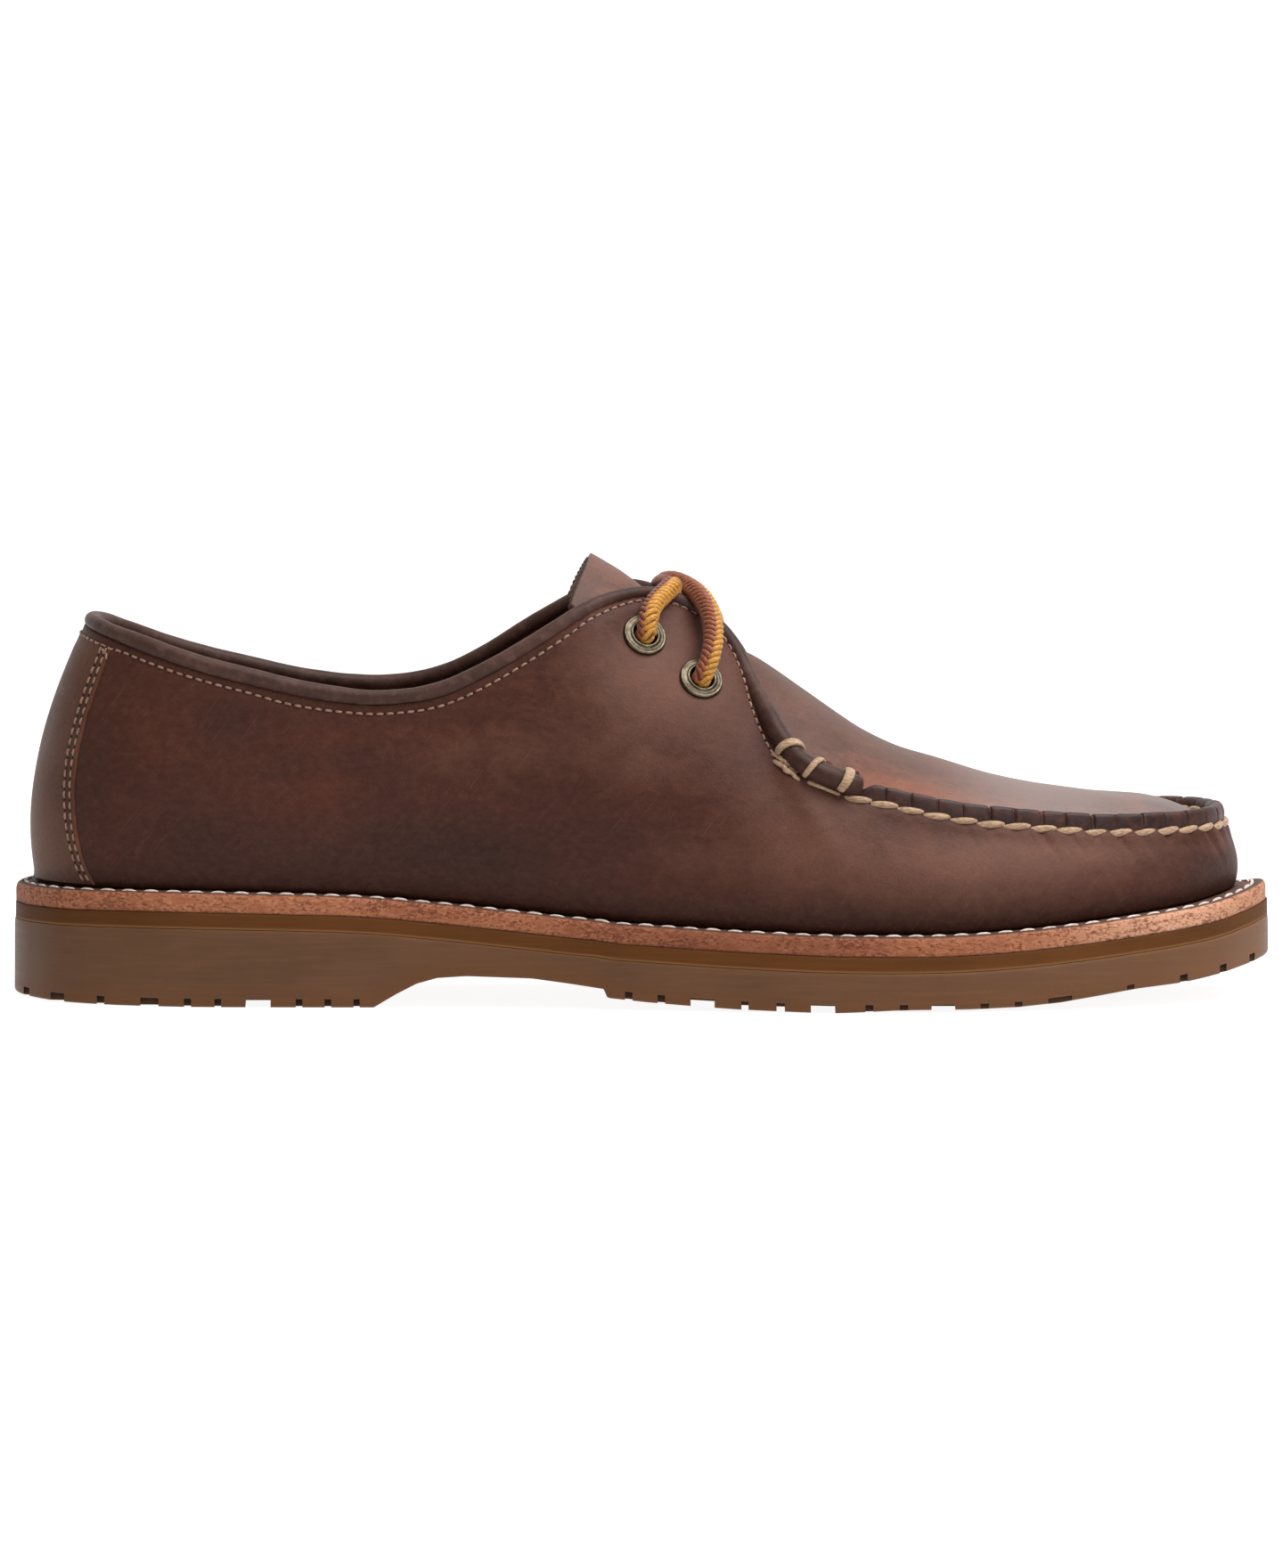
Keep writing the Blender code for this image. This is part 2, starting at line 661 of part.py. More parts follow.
def build_insole():
    """Nested in the welt, its upper part spreading to the wall of the upper."""
    angles = angle_ring(SOLE_STATIONS)
    rings = []
    for extra, base in ((8.6, 0.2 - WELT_THICK), (8.6, GAP + 0.1), (UPPER_WALL + 0.8, GAP + 0.1),
                        (UPPER_WALL + 0.8, INSOLE_THICK - 1.6)):
        ring = []
        for psi in angles:
            ring.append(on_welt(psi, feather_inset(psi) + extra, base))
        rings.append(ring)
    return ring_stack("insole", rings, "insole_leather")


# -------------------------------------------------------------------- the upper
def wall_columns(rear, front):
    """Signed angles of the wall's columns, evenly spread along its two edges."""
    def even(a0, a1, count):
        steps = 400
        s = [0.0]
        prev = (feather(a0), top_edge(a0))
        for k in range(1, steps + 1):
            a = mix(a0, a1, k / steps)
            cur = (feather(a), top_edge(a))
            s.append(s[-1] + 0.5 * (cur[0] - prev[0]).length + 0.5 * (cur[1] - prev[1]).length)
            prev = cur
        out = []
        for c in range(count + 1):
            d = s[-1] * c / count
            i = min(steps - 1, max(0, bisect_right(s, d) - 1))
            out.append(mix(a0, a1, (i + (d - s[i]) / max(1e-9, s[i + 1] - s[i])) / steps))
        return out
    half_rear = even(0.0, THROAT, rear)
    half_front = even(THROAT, math.pi, front)
    return half_rear, half_front


class UpperSkin:
    """Grid of the upper: columns round the shoe, rows from welt to collar or spine."""

    def __init__(self, rear=25, front=16, rows=8, apron=4):
        half_rear, half_front = wall_columns(rear, front)
        self.angles = ([-a for a in reversed(half_front)][0:] + [-a for a in reversed(half_rear)][1:]
                       + half_rear[1:] + half_front[1:-1])
        self.rows, self.apron = rows, apron
        n = len(self.angles)
        self.n = n
        base, raised = [], []
        for psi in self.angles:
            col = [wall_point(psi, k / rows) for k in range(rows + 1)]
            top = [Vector(p) for p in col]
            if abs(psi) >= THROAT - 1e-9:
                om = omega_of(psi)
                foot, edge, h = seam_foot(om), apron_edge(om), ridge_height(om)
                inw = edge - foot
                for f in (0.14, 0.86):
                    col.append(foot + inw * f)
                    lift = Vector((0, 0, h)) - Vector((inw.x, inw.y, 0)).normalized() * 0.3
                    top.append(foot + inw * f + lift)
                col.append(edge)
                top.append(edge)
                for k in range(1, apron + 1):
                    p = apron_point(om, 1.0 - k / apron)
                    col.append(p)
                    top.append(Vector(p))
            base.append(col)
            raised.append(top)
        self.base, self.raised = base, raised
        self.normals = self._normals(base)

    def _normals(self, grid):
        n = self.n
        out = []
        for i in range(n):
            col = []
            for j in range(len(grid[i])):
                a, b = grid[(i - 1) % n], grid[(i + 1) % n]
                pa = a[j] if j < len(a) else grid[i][j]
                pb = b[j] if j < len(b) else grid[i][j]
                du = pb - pa
                lo, hi = max(0, j - 1), min(len(grid[i]) - 1, j + 1)
                dv = grid[i][hi] - grid[i][lo]
                nv = du.cross(dv)
                if nv.length < 1e-6:
                    nv = Vector((0, 0, 1))
                nv.normalize()
                col.append(nv)
            out.append(col)
        # outward: the first wall point at the heel must face backwards
        heel = min(range(n), key=lambda i: grid[i][2].x)
        if out[heel][2].x > 0:
            out = [[-v for v in col] for col in out]
        # at the spine the two halves share a point, so they share an upright normal
        for i in range(n):
            if len(grid[i]) > self.rows + 1:
                v = out[i][-1]
                om = omega_of(self.angles[i])
                slope = (hermite(*_spine, grid[i][-1].x + 1) - hermite(*_spine, grid[i][-1].x - 1)) / 2
                out[i][-1] = Vector((-slope, 0, 1)).normalized()
        return out

    def inner(self, thickness):
        out = []
        for i in range(self.n):
            col = [self.base[i][j] - self.normals[i][j] * thickness for j in range(len(self.base[i]))]
            col[0].z = self.base[i][0].z
            out.append(col)
        return out

    def rim(self):
        """Binding's axis, just outside the wall's top edge, with its radius."""
        path = []
        last = self.rows
        for i, psi in enumerate(self.angles):
            if abs(psi) > THROAT + 1e-9:
                continue
            prev, nxt = self.base[(i - 1) % self.n][last], self.base[(i + 1) % self.n][last]
            t = (nxt - prev).normalized()
            nv = self.normals[i][last]
            nv = (nv - t * nv.dot(t)).normalized()
            d = nv.cross(t)
            if d.dot(self.base[i][last - 1] - self.base[i][last]) < 0:
                d = -d
            path.append(self.base[i][last] - nv * (UPPER_WALL / 2) - d * (BINDING_R + GAP))
        return path


def build_upper(skin):
    verts, index = [], {}

    def add(key, p):
        index[key] = len(verts)
        verts.append(p)

    inner = skin.inner(UPPER_WALL)
    for i in range(skin.n):
        for j in range(len(skin.raised[i])):
            add((0, i, j), skin.raised[i][j])
            add((1, i, j), inner[i][j])
    faces, edges = [], {}

    def quad(side, cells):
        ids = [index[(side, i, j)] for i, j in cells]
        faces.append(tuple(ids if side == 0 else reversed(ids)))

    cells = []
    for i in range(skin.n):
        k = (i + 1) % skin.n
        depth = min(len(skin.base[i]), len(skin.base[k]))
        for j in range(depth - 1):
            cells.append(((i, j), (k, j), (k, j + 1), (i, j + 1)))
    for cell in cells:
        quad(0, cell)
        quad(1, cell)
        for a, b in zip(cell, cell[1:] + cell[:1]):
            key = tuple(sorted((a, b)))
            edges[key] = edges.get(key, 0) + 1
            if edges[key] == 1:
                edges[(key, "dir")] = (a, b)
    # spine edges are shared by the two halves, so they are not a rim
    for key in [k for k in edges if k[1] != "dir"]:
        if edges[key] != 1:
            continue
        a, b = edges[(key, "dir")]
        deep = len(skin.base[a[0]]) - 1
        if a[1] == deep and b[1] == len(skin.base[b[0]]) - 1 and deep > skin.rows:
            continue
        faces.append((index[(0, *b)], index[(0, *a)], index[(1, *a)], index[(1, *b)]))
    return make_object("upper", verts, faces, "upper_leather", sharp=50.0)


def wall_frame_at(x, z, side):
    """Point and outward normal of the wall where its outer face has this x and z."""
    best = None
    lo, hi = angle_at(140.0), angle_at(202.0)
    t0, t1 = 0.4, 0.99
    for _ in range(5):
        cand = []
        for a in range(13):
            for b in range(13):
                psi = side * mix(lo, hi, a / 12)
                t = mix(t0, t1, b / 12)
                p = wall_point(psi, t)
                cand.append(((p.x - x) ** 2 + (p.z - z) ** 2, abs(psi), t))
        best = min(cand)
        da, dt = (hi - lo) / 8, (t1 - t0) / 8
        lo, hi = best[1] - da, best[1] + da
        t0, t1 = max(0.3, best[2] - dt), min(0.995, best[2] + dt)
    psi, t = side * best[1], best[2]
    e = 0.01
    du = wall_point(psi + e, t) - wall_point(psi - e, t)
    dv = wall_point(psi, t + e) - wall_point(psi, t - e)
    nv = du.cross(dv).normalized()
    if nv.z < 0:
        nv = -nv
    return wall_point(psi, t), nv


# ------------------------------------------------------------------ small pieces
def revolve(name, profile, origin, axis, mat, sides=14):
    """Closed ring: profile points are (radius, height along the axis)."""
    z = axis.normalized()
    x = z.cross(Vector((0, 1, 0))).normalized()
    y = z.cross(x)
    verts, faces = [], []
    m = len(profile)
    for k in range(sides):
        a = 2 * math.pi * k / sides
        for r, h in profile:
            verts.append(origin + (x * math.cos(a) + y * math.sin(a)) * r + z * h)
    for k in range(sides):
        n = (k + 1) % sides
        for i in range(m):
            j = (i + 1) % m
            faces.append((k * m + i, n * m + i, n * m + j, k * m + j))
    return make_object(name, verts, faces, mat, sharp=30.0)


def eyelet_profile():
    """Flange with a rounded shoulder outside, barrel through the wall."""
    lift = 0.75
    return [
        (EYELET_HOLE_R, 1.0 + lift), (EYELET_HOLE_R + 0.7, 1.35 + lift),
        (EYELET_OUTER_R - 0.9, 0.95 + lift), (EYELET_OUTER_R, 0.25 + lift),
        (EYELET_OUTER_R - 0.1, lift), (EYELET_BARREL_R, lift),
        (EYELET_BARREL_R, -UPPER_WALL), (EYELET_HOLE_R, -UPPER_WALL),
    ]


def tongue_section(s, y):
    """Point of the tongue's outer face before it is joined to the apron's end."""
    xs = list(range(len(TONGUE)))
    x, z, arch = (hermite(xs, [r[k] for r in TONGUE], s) for k in (0, 1, 3))
    lean = 0.46 * smooth(1.0, 6.0, s)
    drop = arch * y * y
    n = Vector((lean, 0.0, 0.9)).normalized()
    return Vector((x, y, z)) - n * drop


def tongue_point(s, v):
    """Outer face: s counts rows of the table, v runs from -1 to 1 across."""
    xs = list(range(len(TONGUE)))
    s -= 0.55 * smooth(7.0, 9.0, s) * abs(v) ** 5       # rounded corners
    hw = hermite(xs, [r[2] for r in TONGUE], s)
    y = v * hw
    p = tongue_section(s, y)
    if s < 3.0:
        om = -1.0 if y < 0 else 1.0
        e = apron_edge(om)
        c = apron_root(om)
        r = min(1.0, abs(y - c.y) / abs(e.y - c.y))
        root = apron_point(om, r)
        root.x -= GAP + 0.1
        p += (root - tongue_section(0.0, y)) * (1.0 - smooth(0.0, 2.6, s))
    return p


def apron_end_normal(y):
    """Normal of the apron where its rear edge has this y."""
    om = -1.0 if y < 0 else 1.0
    c, e = apron_root(om), apron_edge(om)
    r = min(0.98, max(0.02, abs(y - c.y) / abs(e.y - c.y)))
    du = apron_point(om, r + 0.02) - apron_point(om, r - 0.02)
    dw = apron_point(om * 0.98, r) - apron_point(om, r)
    nv = du.cross(dw).normalized()
    return -nv if nv.z < 0 else nv


def build_tongue():
    rows, cols = 17, 11
    top = [[tongue_point(9.0 * i / (rows - 1), -1 + 2 * j / (cols - 1)) for j in range(cols)]
           for i in range(rows)]
    low = []
    for i in range(rows):
        line = []
        for j in range(cols):
            a = top[min(rows - 1, i + 1)][j] - top[max(0, i - 1)][j]
            b = top[i][min(cols - 1, j + 1)] - top[i][max(0, j - 1)]
            nv = a.cross(b).normalized()
            if nv.z < 0:
                nv = -nv
            if i == 0:
                nv = apron_end_normal(top[i][j].y)
            line.append(top[i][j] - nv * TONGUE_THICK)
        low.append(line)
    verts = [p for row in top for p in row] + [p for row in low for p in row]
    n = rows * cols
    faces = []
    for i in range(rows - 1):
        for j in range(cols - 1):
            a = i * cols + j
            faces.append((a, a + 1, a + cols + 1, a + cols))
            faces.append((n + a, n + a + cols, n + a + cols + 1, n + a + 1))
    for i in range(rows - 1):
        a, b = i * cols, (i + 1) * cols
        faces.append((a, b, n + b, n + a))
        a, b = a + cols - 1, b + cols - 1
        faces.append((b, a, n + a, n + b))
    for j in range(cols - 1):
        faces.append((j + 1, j, n + j, n + j + 1))
        a = (rows - 1) * cols + j
        faces.append((a, a + 1, n + a + 1, n + a))
    return make_object("tongue", verts, faces, "upper_leather")


def roll_path(side, count=6):
    """Axis and radius of the roll that runs on from the tab's edge along the seam."""
    tops, radii = [], []
    for k in range(-1, count + 1):
        om = side * min(1.0, 1.0 - k * 0.0180 - 0.006)
        foot, edge = seam_foot(om), apron_edge(om)
        mid = (foot + edge) / 2
        mid.z = foot.z + ridge_height(om)
        tops.append(mid)
        radii.append(mix(BINDING_R, ROLL_R, smooth(-0.15, 0.45, k / (count - 1))))
    path = []
    for k in range(1, count + 1):
        t = (tops[k + 1] - tops[k - 1]).normalized()
        up = (Vector((0, 0, 1)) - t * t.z).normalized()
        path.append(tops[k] + up * (radii[k] + GAP + 0.3))
    return path, radii[1:count + 1]


def build_binding(skin):
    rim = skin.rim()
    lateral, radii = roll_path(-1.0)
    medial, _ = roll_path(1.0)
    path = list(reversed(lateral)) + rim[1:-1] + medial
    widths = []
    for i in range(len(path)):
        d = min(i, len(path) - 1 - i)
        widths.append(radii[5 - d] if d < 6 else mix(radii[0], BINDING_R, smooth(5, 8, d)))
    widths[0] = widths[-1] = ROLL_R * 0.8
    return tube("collar_binding", path, widths, "binding_leather")


def surface_tree(ob):
    ob.data.calc_loop_triangles()
    return BVHTree.FromPolygons([v.co.copy() for v in ob.data.vertices],
                                [tuple(t.vertices) for t in ob.data.loop_triangles])


def lie_clear(path, trees, radius, fixed):
    """Move a cord's points off the surfaces that it passes, keeping it smooth."""
    pts = [p.copy() for p in path]
    n = len(pts)
    for turn in range(30):
        for i in range(fixed, n - fixed):
            for tree in trees:
                at, normal, _, dist = tree.find_nearest(pts[i])
                away = pts[i] - at
                inside = away.dot(normal) < 0
                short = radius + GAP + 0.2 - (-dist if inside else dist)
                if short > 0:
                    step = normal if (inside or dist < 0.2) else away / dist
                    pts[i] += step * min(short, 0.6)
        if turn < 27:
            old = [p.copy() for p in pts]
            for i in range(fixed, n - fixed):
                pts[i] = old[i] * 0.7 + (old[i - 1] + old[i + 1]) * 0.15
    return pts


def strand(name, start, finish, crest, trees):
    """Lace from one eyelet's bore over the tabs to the opposite eyelet's bore."""
    (p, n), (q, m) = start, finish
    points = ([p - n * 1.8, p + n * 0.6, p + n * 3.2] + [Vector(c) for c in crest]
              + [q + m * 3.2, q + m * 0.6, q - m * 1.8])
    path = lie_clear(resample(points, 3.1), trees, LACE_R, 3)
    return tube(name, path, [LACE_R] * len(path), "lace_cord")


def build_lace(frames, pieces):
    trees = [surface_tree(ob) for ob in pieces]
    over = strand("lace_crossing", frames[("lateral", "lower")], frames[("medial", "upper")],
                  LACE_OVER, trees)
    under = strand("lace_under", frames[("lateral", "upper")], frames[("medial", "lower")],
                   LACE_UNDER, trees)
    apply_boolean(over, under, "UNION")
    (p, n), (q, m) = frames[("lateral", "lower")], frames[("medial", "lower")]
    points = ([p - n * 3.0, p - n * 5.2] + [Vector(c) for c in LACE_BAR]
              + [q - m * 5.2, q - m * 3.0])
    path = lie_clear(resample(points, 2.3), trees, LACE_R, 2)
    tube("lace_bar", path, [LACE_R * 0.9] * len(path), "lace_cord")


def main():
    for ob in list(bpy.data.objects):
        bpy.data.objects.remove(ob, do_unlink=True)
    outsole = build_outsole()
    build_midsole()
    build_welt()
    build_insole()
    skin = UpperSkin()
    upper = build_upper(skin)
    tongue = build_tongue()
    binding = build_binding(skin)
    frames, eyelets = {}, []
    for side, label in ((-1, "lateral"), (1, "medial")):
        for name, x, z in EYELETS:
            rise = medial_rise(160.0) if side > 0 else 0.0
            p, nv = wall_frame_at(x, z + rise, side)
            frames[(label, name)] = (p, nv)
            cut = revolve("cut", [(0.0, 5.0), (EYELET_CUT_R, 5.0), (EYELET_CUT_R, -6.0), (0.0, -6.0)],
                          p, nv, None, sides=12)
            apply_boolean(upper, cut, "DIFFERENCE")
            eyelets.append(revolve("eyelet_%s_%s" % (label, name), eyelet_profile(), p, nv, "brass"))
    build_lace(frames, [upper, tongue, binding] + eyelets)
    return outsole, frames


outsole, frames = main()

# centre the sole over the origin and turn millimetres into metres
lo = [min(v.co[k] for v in outsole.data.vertices) for k in range(2)]
hi = [max(v.co[k] for v in outsole.data.vertices) for k in range(2)]
cx, cy = (lo[0] + hi[0]) / 2, (lo[1] + hi[1]) / 2
for ob in bpy.data.objects:
    if ob.type == "MESH":
        for v in ob.data.vertices:
            v.co = ((v.co.x - cx) / 1000.0, (v.co.y - cy) / 1000.0, v.co.z / 1000.0)
        ob.data.update()
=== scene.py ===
"""Moccasin-toe oxford shoe: leather, thread, lace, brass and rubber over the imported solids.

Lengths are millimetres in last coordinates until a mesh is written: x from the
back of the heel to the toe, y positive on the medial side, z up from the floor.
"""
import bpy
import bmesh
import json
import math
import numpy as np
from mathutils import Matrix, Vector
from mathutils.bvhtree import BVHTree

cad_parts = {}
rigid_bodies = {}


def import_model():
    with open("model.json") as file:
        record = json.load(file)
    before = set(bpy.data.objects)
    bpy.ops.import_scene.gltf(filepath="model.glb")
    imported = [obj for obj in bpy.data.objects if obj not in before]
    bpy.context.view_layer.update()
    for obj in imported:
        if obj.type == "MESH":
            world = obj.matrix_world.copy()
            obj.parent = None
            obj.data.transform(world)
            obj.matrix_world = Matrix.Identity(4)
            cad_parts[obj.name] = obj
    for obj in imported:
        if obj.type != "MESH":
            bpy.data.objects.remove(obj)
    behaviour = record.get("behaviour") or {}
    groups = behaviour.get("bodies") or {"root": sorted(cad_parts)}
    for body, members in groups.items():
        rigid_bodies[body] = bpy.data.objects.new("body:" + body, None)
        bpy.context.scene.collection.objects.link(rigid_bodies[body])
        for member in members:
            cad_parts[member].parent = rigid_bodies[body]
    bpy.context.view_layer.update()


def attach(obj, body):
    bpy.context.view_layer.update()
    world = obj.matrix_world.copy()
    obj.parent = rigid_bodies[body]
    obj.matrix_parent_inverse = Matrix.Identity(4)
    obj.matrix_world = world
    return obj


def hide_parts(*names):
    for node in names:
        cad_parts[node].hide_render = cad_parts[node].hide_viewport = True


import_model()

RNG = np.random.RandomState(11)

# ------------------------------------------------------------------ dimensions
SOLE_LENGTH = 305.0
SHIFT = np.array([152.5, -1.52199, 0.0])
WALL_THICK = 2.0
WELT_THICK = 4.6
MIDSOLE_THICK = 3.5
LUG_DEPTH = 2.1
GAP = 0.3
BINDING_R = 1.9
ROLL_R = 2.85
ROLL_RUN = 5.35
RIDGE_WIDTH = 3.8
RIDGE_HEIGHT = 3.6
LACE_R = 2.35
STITCH_PITCH = 6.6            # of the moccasin seam
SEAM_X0, SEAM_X1 = 189.5, 293.9
THROAT_STATION = 203.0
POLE_X = 262.0

OUTLINE = [                   # x, lateral y, medial y
    (0.0, 0.0, 0.0), (4.0, -16.0, 15.5), (11.0, -26.0, 26.0), (22.0, -32.5, 32.0),
    (40.0, -37.0, 36.5), (70.0, -38.5, 36.0), (100.0, -39.0, 33.5), (125.0, -41.5, 34.0),
    (150.0, -46.0, 38.5), (175.0, -51.0, 44.5), (195.0, -54.0, 48.5), (215.0, -54.0, 51.0),
    (240.0, -50.2, 50.5), (262.0, -43.5, 46.5), (280.0, -34.5, 39.5), (292.0, -24.0, 31.0),
    (300.0, -12.0, 21.5), (305.0, 5.0, 5.0),
]
HEIGHTS = [                   # x, tread level, top of the welt
    (0.0, 0.8, 27.6), (10.0, 0.4, 27.8), (25.0, 0.15, 27.9), (42.0, 0.0, 27.8),
    (60.0, 0.0, 27.5), (87.6, 0.0, 26.6), (93.0, 3.2, 26.2), (98.0, 5.8, 25.7),
    (103.0, 7.2, 25.3), (110.0, 7.7, 24.6), (126.0, 7.3, 23.0), (135.0, 6.2, 22.1),
    (143.6, 5.0, 21.3), (144.2, 2.9, 21.2), (154.0, 2.0, 20.5), (163.0, 1.4, 20.0),
    (175.0, 0.7, 19.4), (186.0, 0.35, 19.0), (198.0, 0.0, 18.6), (213.0, 0.0, 18.4),
    (232.0, 0.0, 18.6), (244.0, 0.35, 19.3), (254.0, 1.2, 20.1), (262.0, 2.3, 20.9),
    (273.0, 3.9, 22.1), (283.0, 5.2, 23.2), (293.0, 6.8, 24.6), (300.0, 8.3, 26.3),
    (305.0, 9.6, 27.9),
]
FEATHER = [(0.0, 5.3), (40.0, 5.6), (120.0, 5.8), (200.0, 6.8), (270.0, 7.4), (305.0, 8.2)]
COLLAR = [                    # sole station, x, y, z
    (0.0, 17.0, 0.0, 89.7), (4.0, 20.8, 14.6, 88.4), (12.0, 29.2, 22.4, 85.2),
    (27.0, 40.5, 27.3, 81.3), (49.0, 56.0, 29.7, 77.2), (72.0, 74.0, 31.1, 73.5),
    (92.0, 91.0, 32.1, 72.7), (108.0, 104.5, 32.1, 74.8), (122.0, 116.5, 31.4, 80.3),
    (134.0, 126.0, 30.2, 85.8), (145.0, 134.6, 28.2, 91.2), (154.0, 141.6, 24.8, 95.3),
    (161.0, 148.6, 19.6, 97.6), (167.0, 154.4, 15.6, 98.2), (173.0, 161.0, 12.8, 96.8),
    (178.0, 167.3, 11.9, 93.6), (183.0, 172.8, 12.8, 89.0), (187.0, 176.0, 15.0, 84.1),
    (191.0, 178.5, 18.8, 78.7), (195.0, 180.9, 24.6, 73.0), (199.0, 184.0, 31.2, 66.4),
    (203.0, 189.0, 37.4, 58.0),
]
MEDIAL_RISE = [(0.0, 0.0), (12.0, -0.7), (40.0, -1.0), (72.0, -1.1), (92.0, -1.4), (112.0, -1.0),
               (124.0, -0.6), (137.0, 0.3), (148.0, 0.0), (154.0, 0.1), (160.0, -0.3), (167.0, -1.3), (173.0, -2.2), (178.0, -2.4),
               (184.0, -2.0), (192.0, -1.3), (203.0, 0.0)]
WALL = [                      # station, out and up at the bottom, out and down at the top
    (0.0, 4.2, 20.0, 9.4, 19.0), (12.0, 4.0, 19.0, 5.5, 18.0), (27.0, 3.8, 17.0, 3.0, 16.0),
    (49.0, 3.5, 15.0, 1.8, 15.0), (72.0, 3.5, 14.0, 1.5, 14.0), (92.0, 3.5, 14.0, 1.5, 14.0),
    (108.0, 3.6, 15.0, 2.0, 15.0), (122.0, 3.8, 17.0, 3.5, 16.0), (134.0, 4.0, 19.0, 6.0, 17.0),
    (145.0, 4.0, 21.0, 9.0, 17.0), (154.0, 4.0, 23.0, 12.0, 16.0), (161.0, 4.0, 24.0, 14.0, 15.0),
    (167.0, 4.3, 24.5, 15.5, 13.5), (173.0, 4.6, 24.5, 16.5, 12.5), (178.0, 5.0, 24.0, 17.0, 12.0),
    (187.0, 5.0, 21.5, 15.0, 12.5), (195.0, 5.0, 18.0, 11.0, 12.5), (203.0, 4.8, 14.5, 7.5, 9.5),
    (222.0, 4.2, 11.5, 6.0, 7.5), (245.0, 3.6, 9.5, 4.5, 6.0), (270.0, 3.1, 8.5, 3.8, 5.2),
    (290.0, 2.9, 7.5, 3.1, 5.0), (305.0, 2.3, 6.8, 1.8, 5.0),
]
SEAM = [                      # x, lateral y, medial y, z
    (189.5, -37.4, 36.6, 58.0), (196.0, -38.2, 37.6, 54.2), (203.0, -38.6, 38.6, 51.6),
    (212.0, -38.4, 39.2, 49.6), (224.0, -37.2, 39.2, 46.8), (238.0, -34.8, 38.2, 44.6),
    (251.0, -31.8, 36.4, 43.5), (263.0, -28.0, 33.6, 42.6), (275.0, -22.8, 29.4, 42.4),
    (283.5, -17.6, 25.0, 42.5), (290.0, -10.8, 19.0, 42.6), (293.9, 4.5, 4.5, 42.6),
]
SPINE = [                     # x, z
    (184.0, 79.9), (191.5, 74.55), (202.0, 66.8), (213.0, 61.0), (224.0, 57.5), (235.0, 53.9),
    (246.0, 51.4), (257.0, 49.8), (267.0, 48.6), (275.0, 48.2), (283.0, 47.2), (291.0, 45.2),
]
TONGUE = [                    # x, z, half width, arch
    (183.6, 80.2, 30.5, 0.0150), (181.0, 82.1, 25.5, 0.0200), (177.5, 84.0, 20.5, 0.0290),
    (173.0, 85.2, 16.0, 0.0390), (168.0, 86.8, 13.8, 0.0440), (162.0, 90.4, 14.6, 0.0420),
    (155.0, 97.2, 18.4, 0.0320), (148.0, 102.7, 20.6, 0.0290), (143.0, 105.8, 20.8, 0.0285),
    (140.2, 107.4, 20.4, 0.0285),
]
SLOTS = [                     # first x, last x, reach inward
    (2.4, 3.8, 3.5), (9.1, 12.4, 4.0), (20.4, 22.2, 4.5), (31.0, 35.4, 5.0),
    (41.6, 43.3, 4.5), (49.0, 50.6, 4.5), (56.5, 62.6, 20.0), (68.7, 70.3, 4.5),
    (75.7, 77.3, 4.5), (82.7, 84.2, 4.5),
    (148.5, 150.3, 4.5), (156.4, 158.2, 4.5), (164.4, 170.2, 18.0), (176.7, 178.4, 13.0),
    (185.2, 187.2, 14.0), (193.5, 199.4, 20.0), (206.7, 208.6, 4.5), (215.0, 217.0, 5.0),
    (222.7, 228.5, 19.0), (234.6, 236.6, 4.5), (242.9, 244.7, 4.0), (251.0, 256.8, 5.5),
    (270.2, 271.9, 3.5), (283.1, 284.9, 3.5), (292.9, 294.5, 3.0), (300.2, 301.5, 2.4),
]
WELLS = [                     # first x, last x, lateral y, medial y
    (18.0, 27.0, -11.0, 11.0), (66.0, 78.0, -14.0, 13.0), (154.0, 163.0, -22.0, 16.0),
    (173.0, 189.0, -26.0, 21.0), (202.5, 219.5, -28.0, 25.0), (231.0, 247.0, -24.0, 25.0),
    (260.0, 276.0, -15.0, 19.0),
]
EYELETS = [("upper", 153.3, 89.4), ("lower", 167.0, 79.0)]
LACE_OVER = [
    (170.2, -26.4, 86.3), (170.1, -22.2, 91.6), (168.8, -16.8, 96.0), (166.6, -12.2, 98.8),
    (163.8, -7.4, 100.1), (161.4, -2.0, 100.5), (159.8, 4.0, 100.4), (158.4, 9.5, 99.8),
    (157.0, 14.5, 98.4), (155.8, 19.0, 95.6), (154.4, 22.4, 92.2),
]
LACE_UNDER = [
    (153.2, -26.2, 92.2), (154.2, -23.4, 95.4), (155.8, -19.8, 98.0), (158.2, -15.6, 98.9),
    (160.8, -11.0, 97.7), (162.9, -5.4, 95.7), (164.8, 1.2, 94.8), (166.8, 8.0, 94.4),
    (168.8, 13.6, 92.8), (170.4, 19.0, 89.2), (170.8, 24.0, 84.6),
]
LACE_BAR = [
    (168.0, -15.6, 80.0), (168.3, -12.0, 85.0), (168.4, -7.0, 88.6), (168.4, 0.0, 89.8),
    (168.4, 7.0, 88.2), (168.3, 12.0, 84.4), (168.0, 15.6, 79.4),
]
# front edge of the heel strip: height, x
HEEL_STRIP = [(27.0, 21.2), (28.8, 20.1), (33.0, 17.9), (38.2, 16.3), (49.9, 14.95), (59.7, 15.7), (68.0, 17.6),
              (75.6, 20.0), (86.0, 24.0), (92.0, 26.6)]
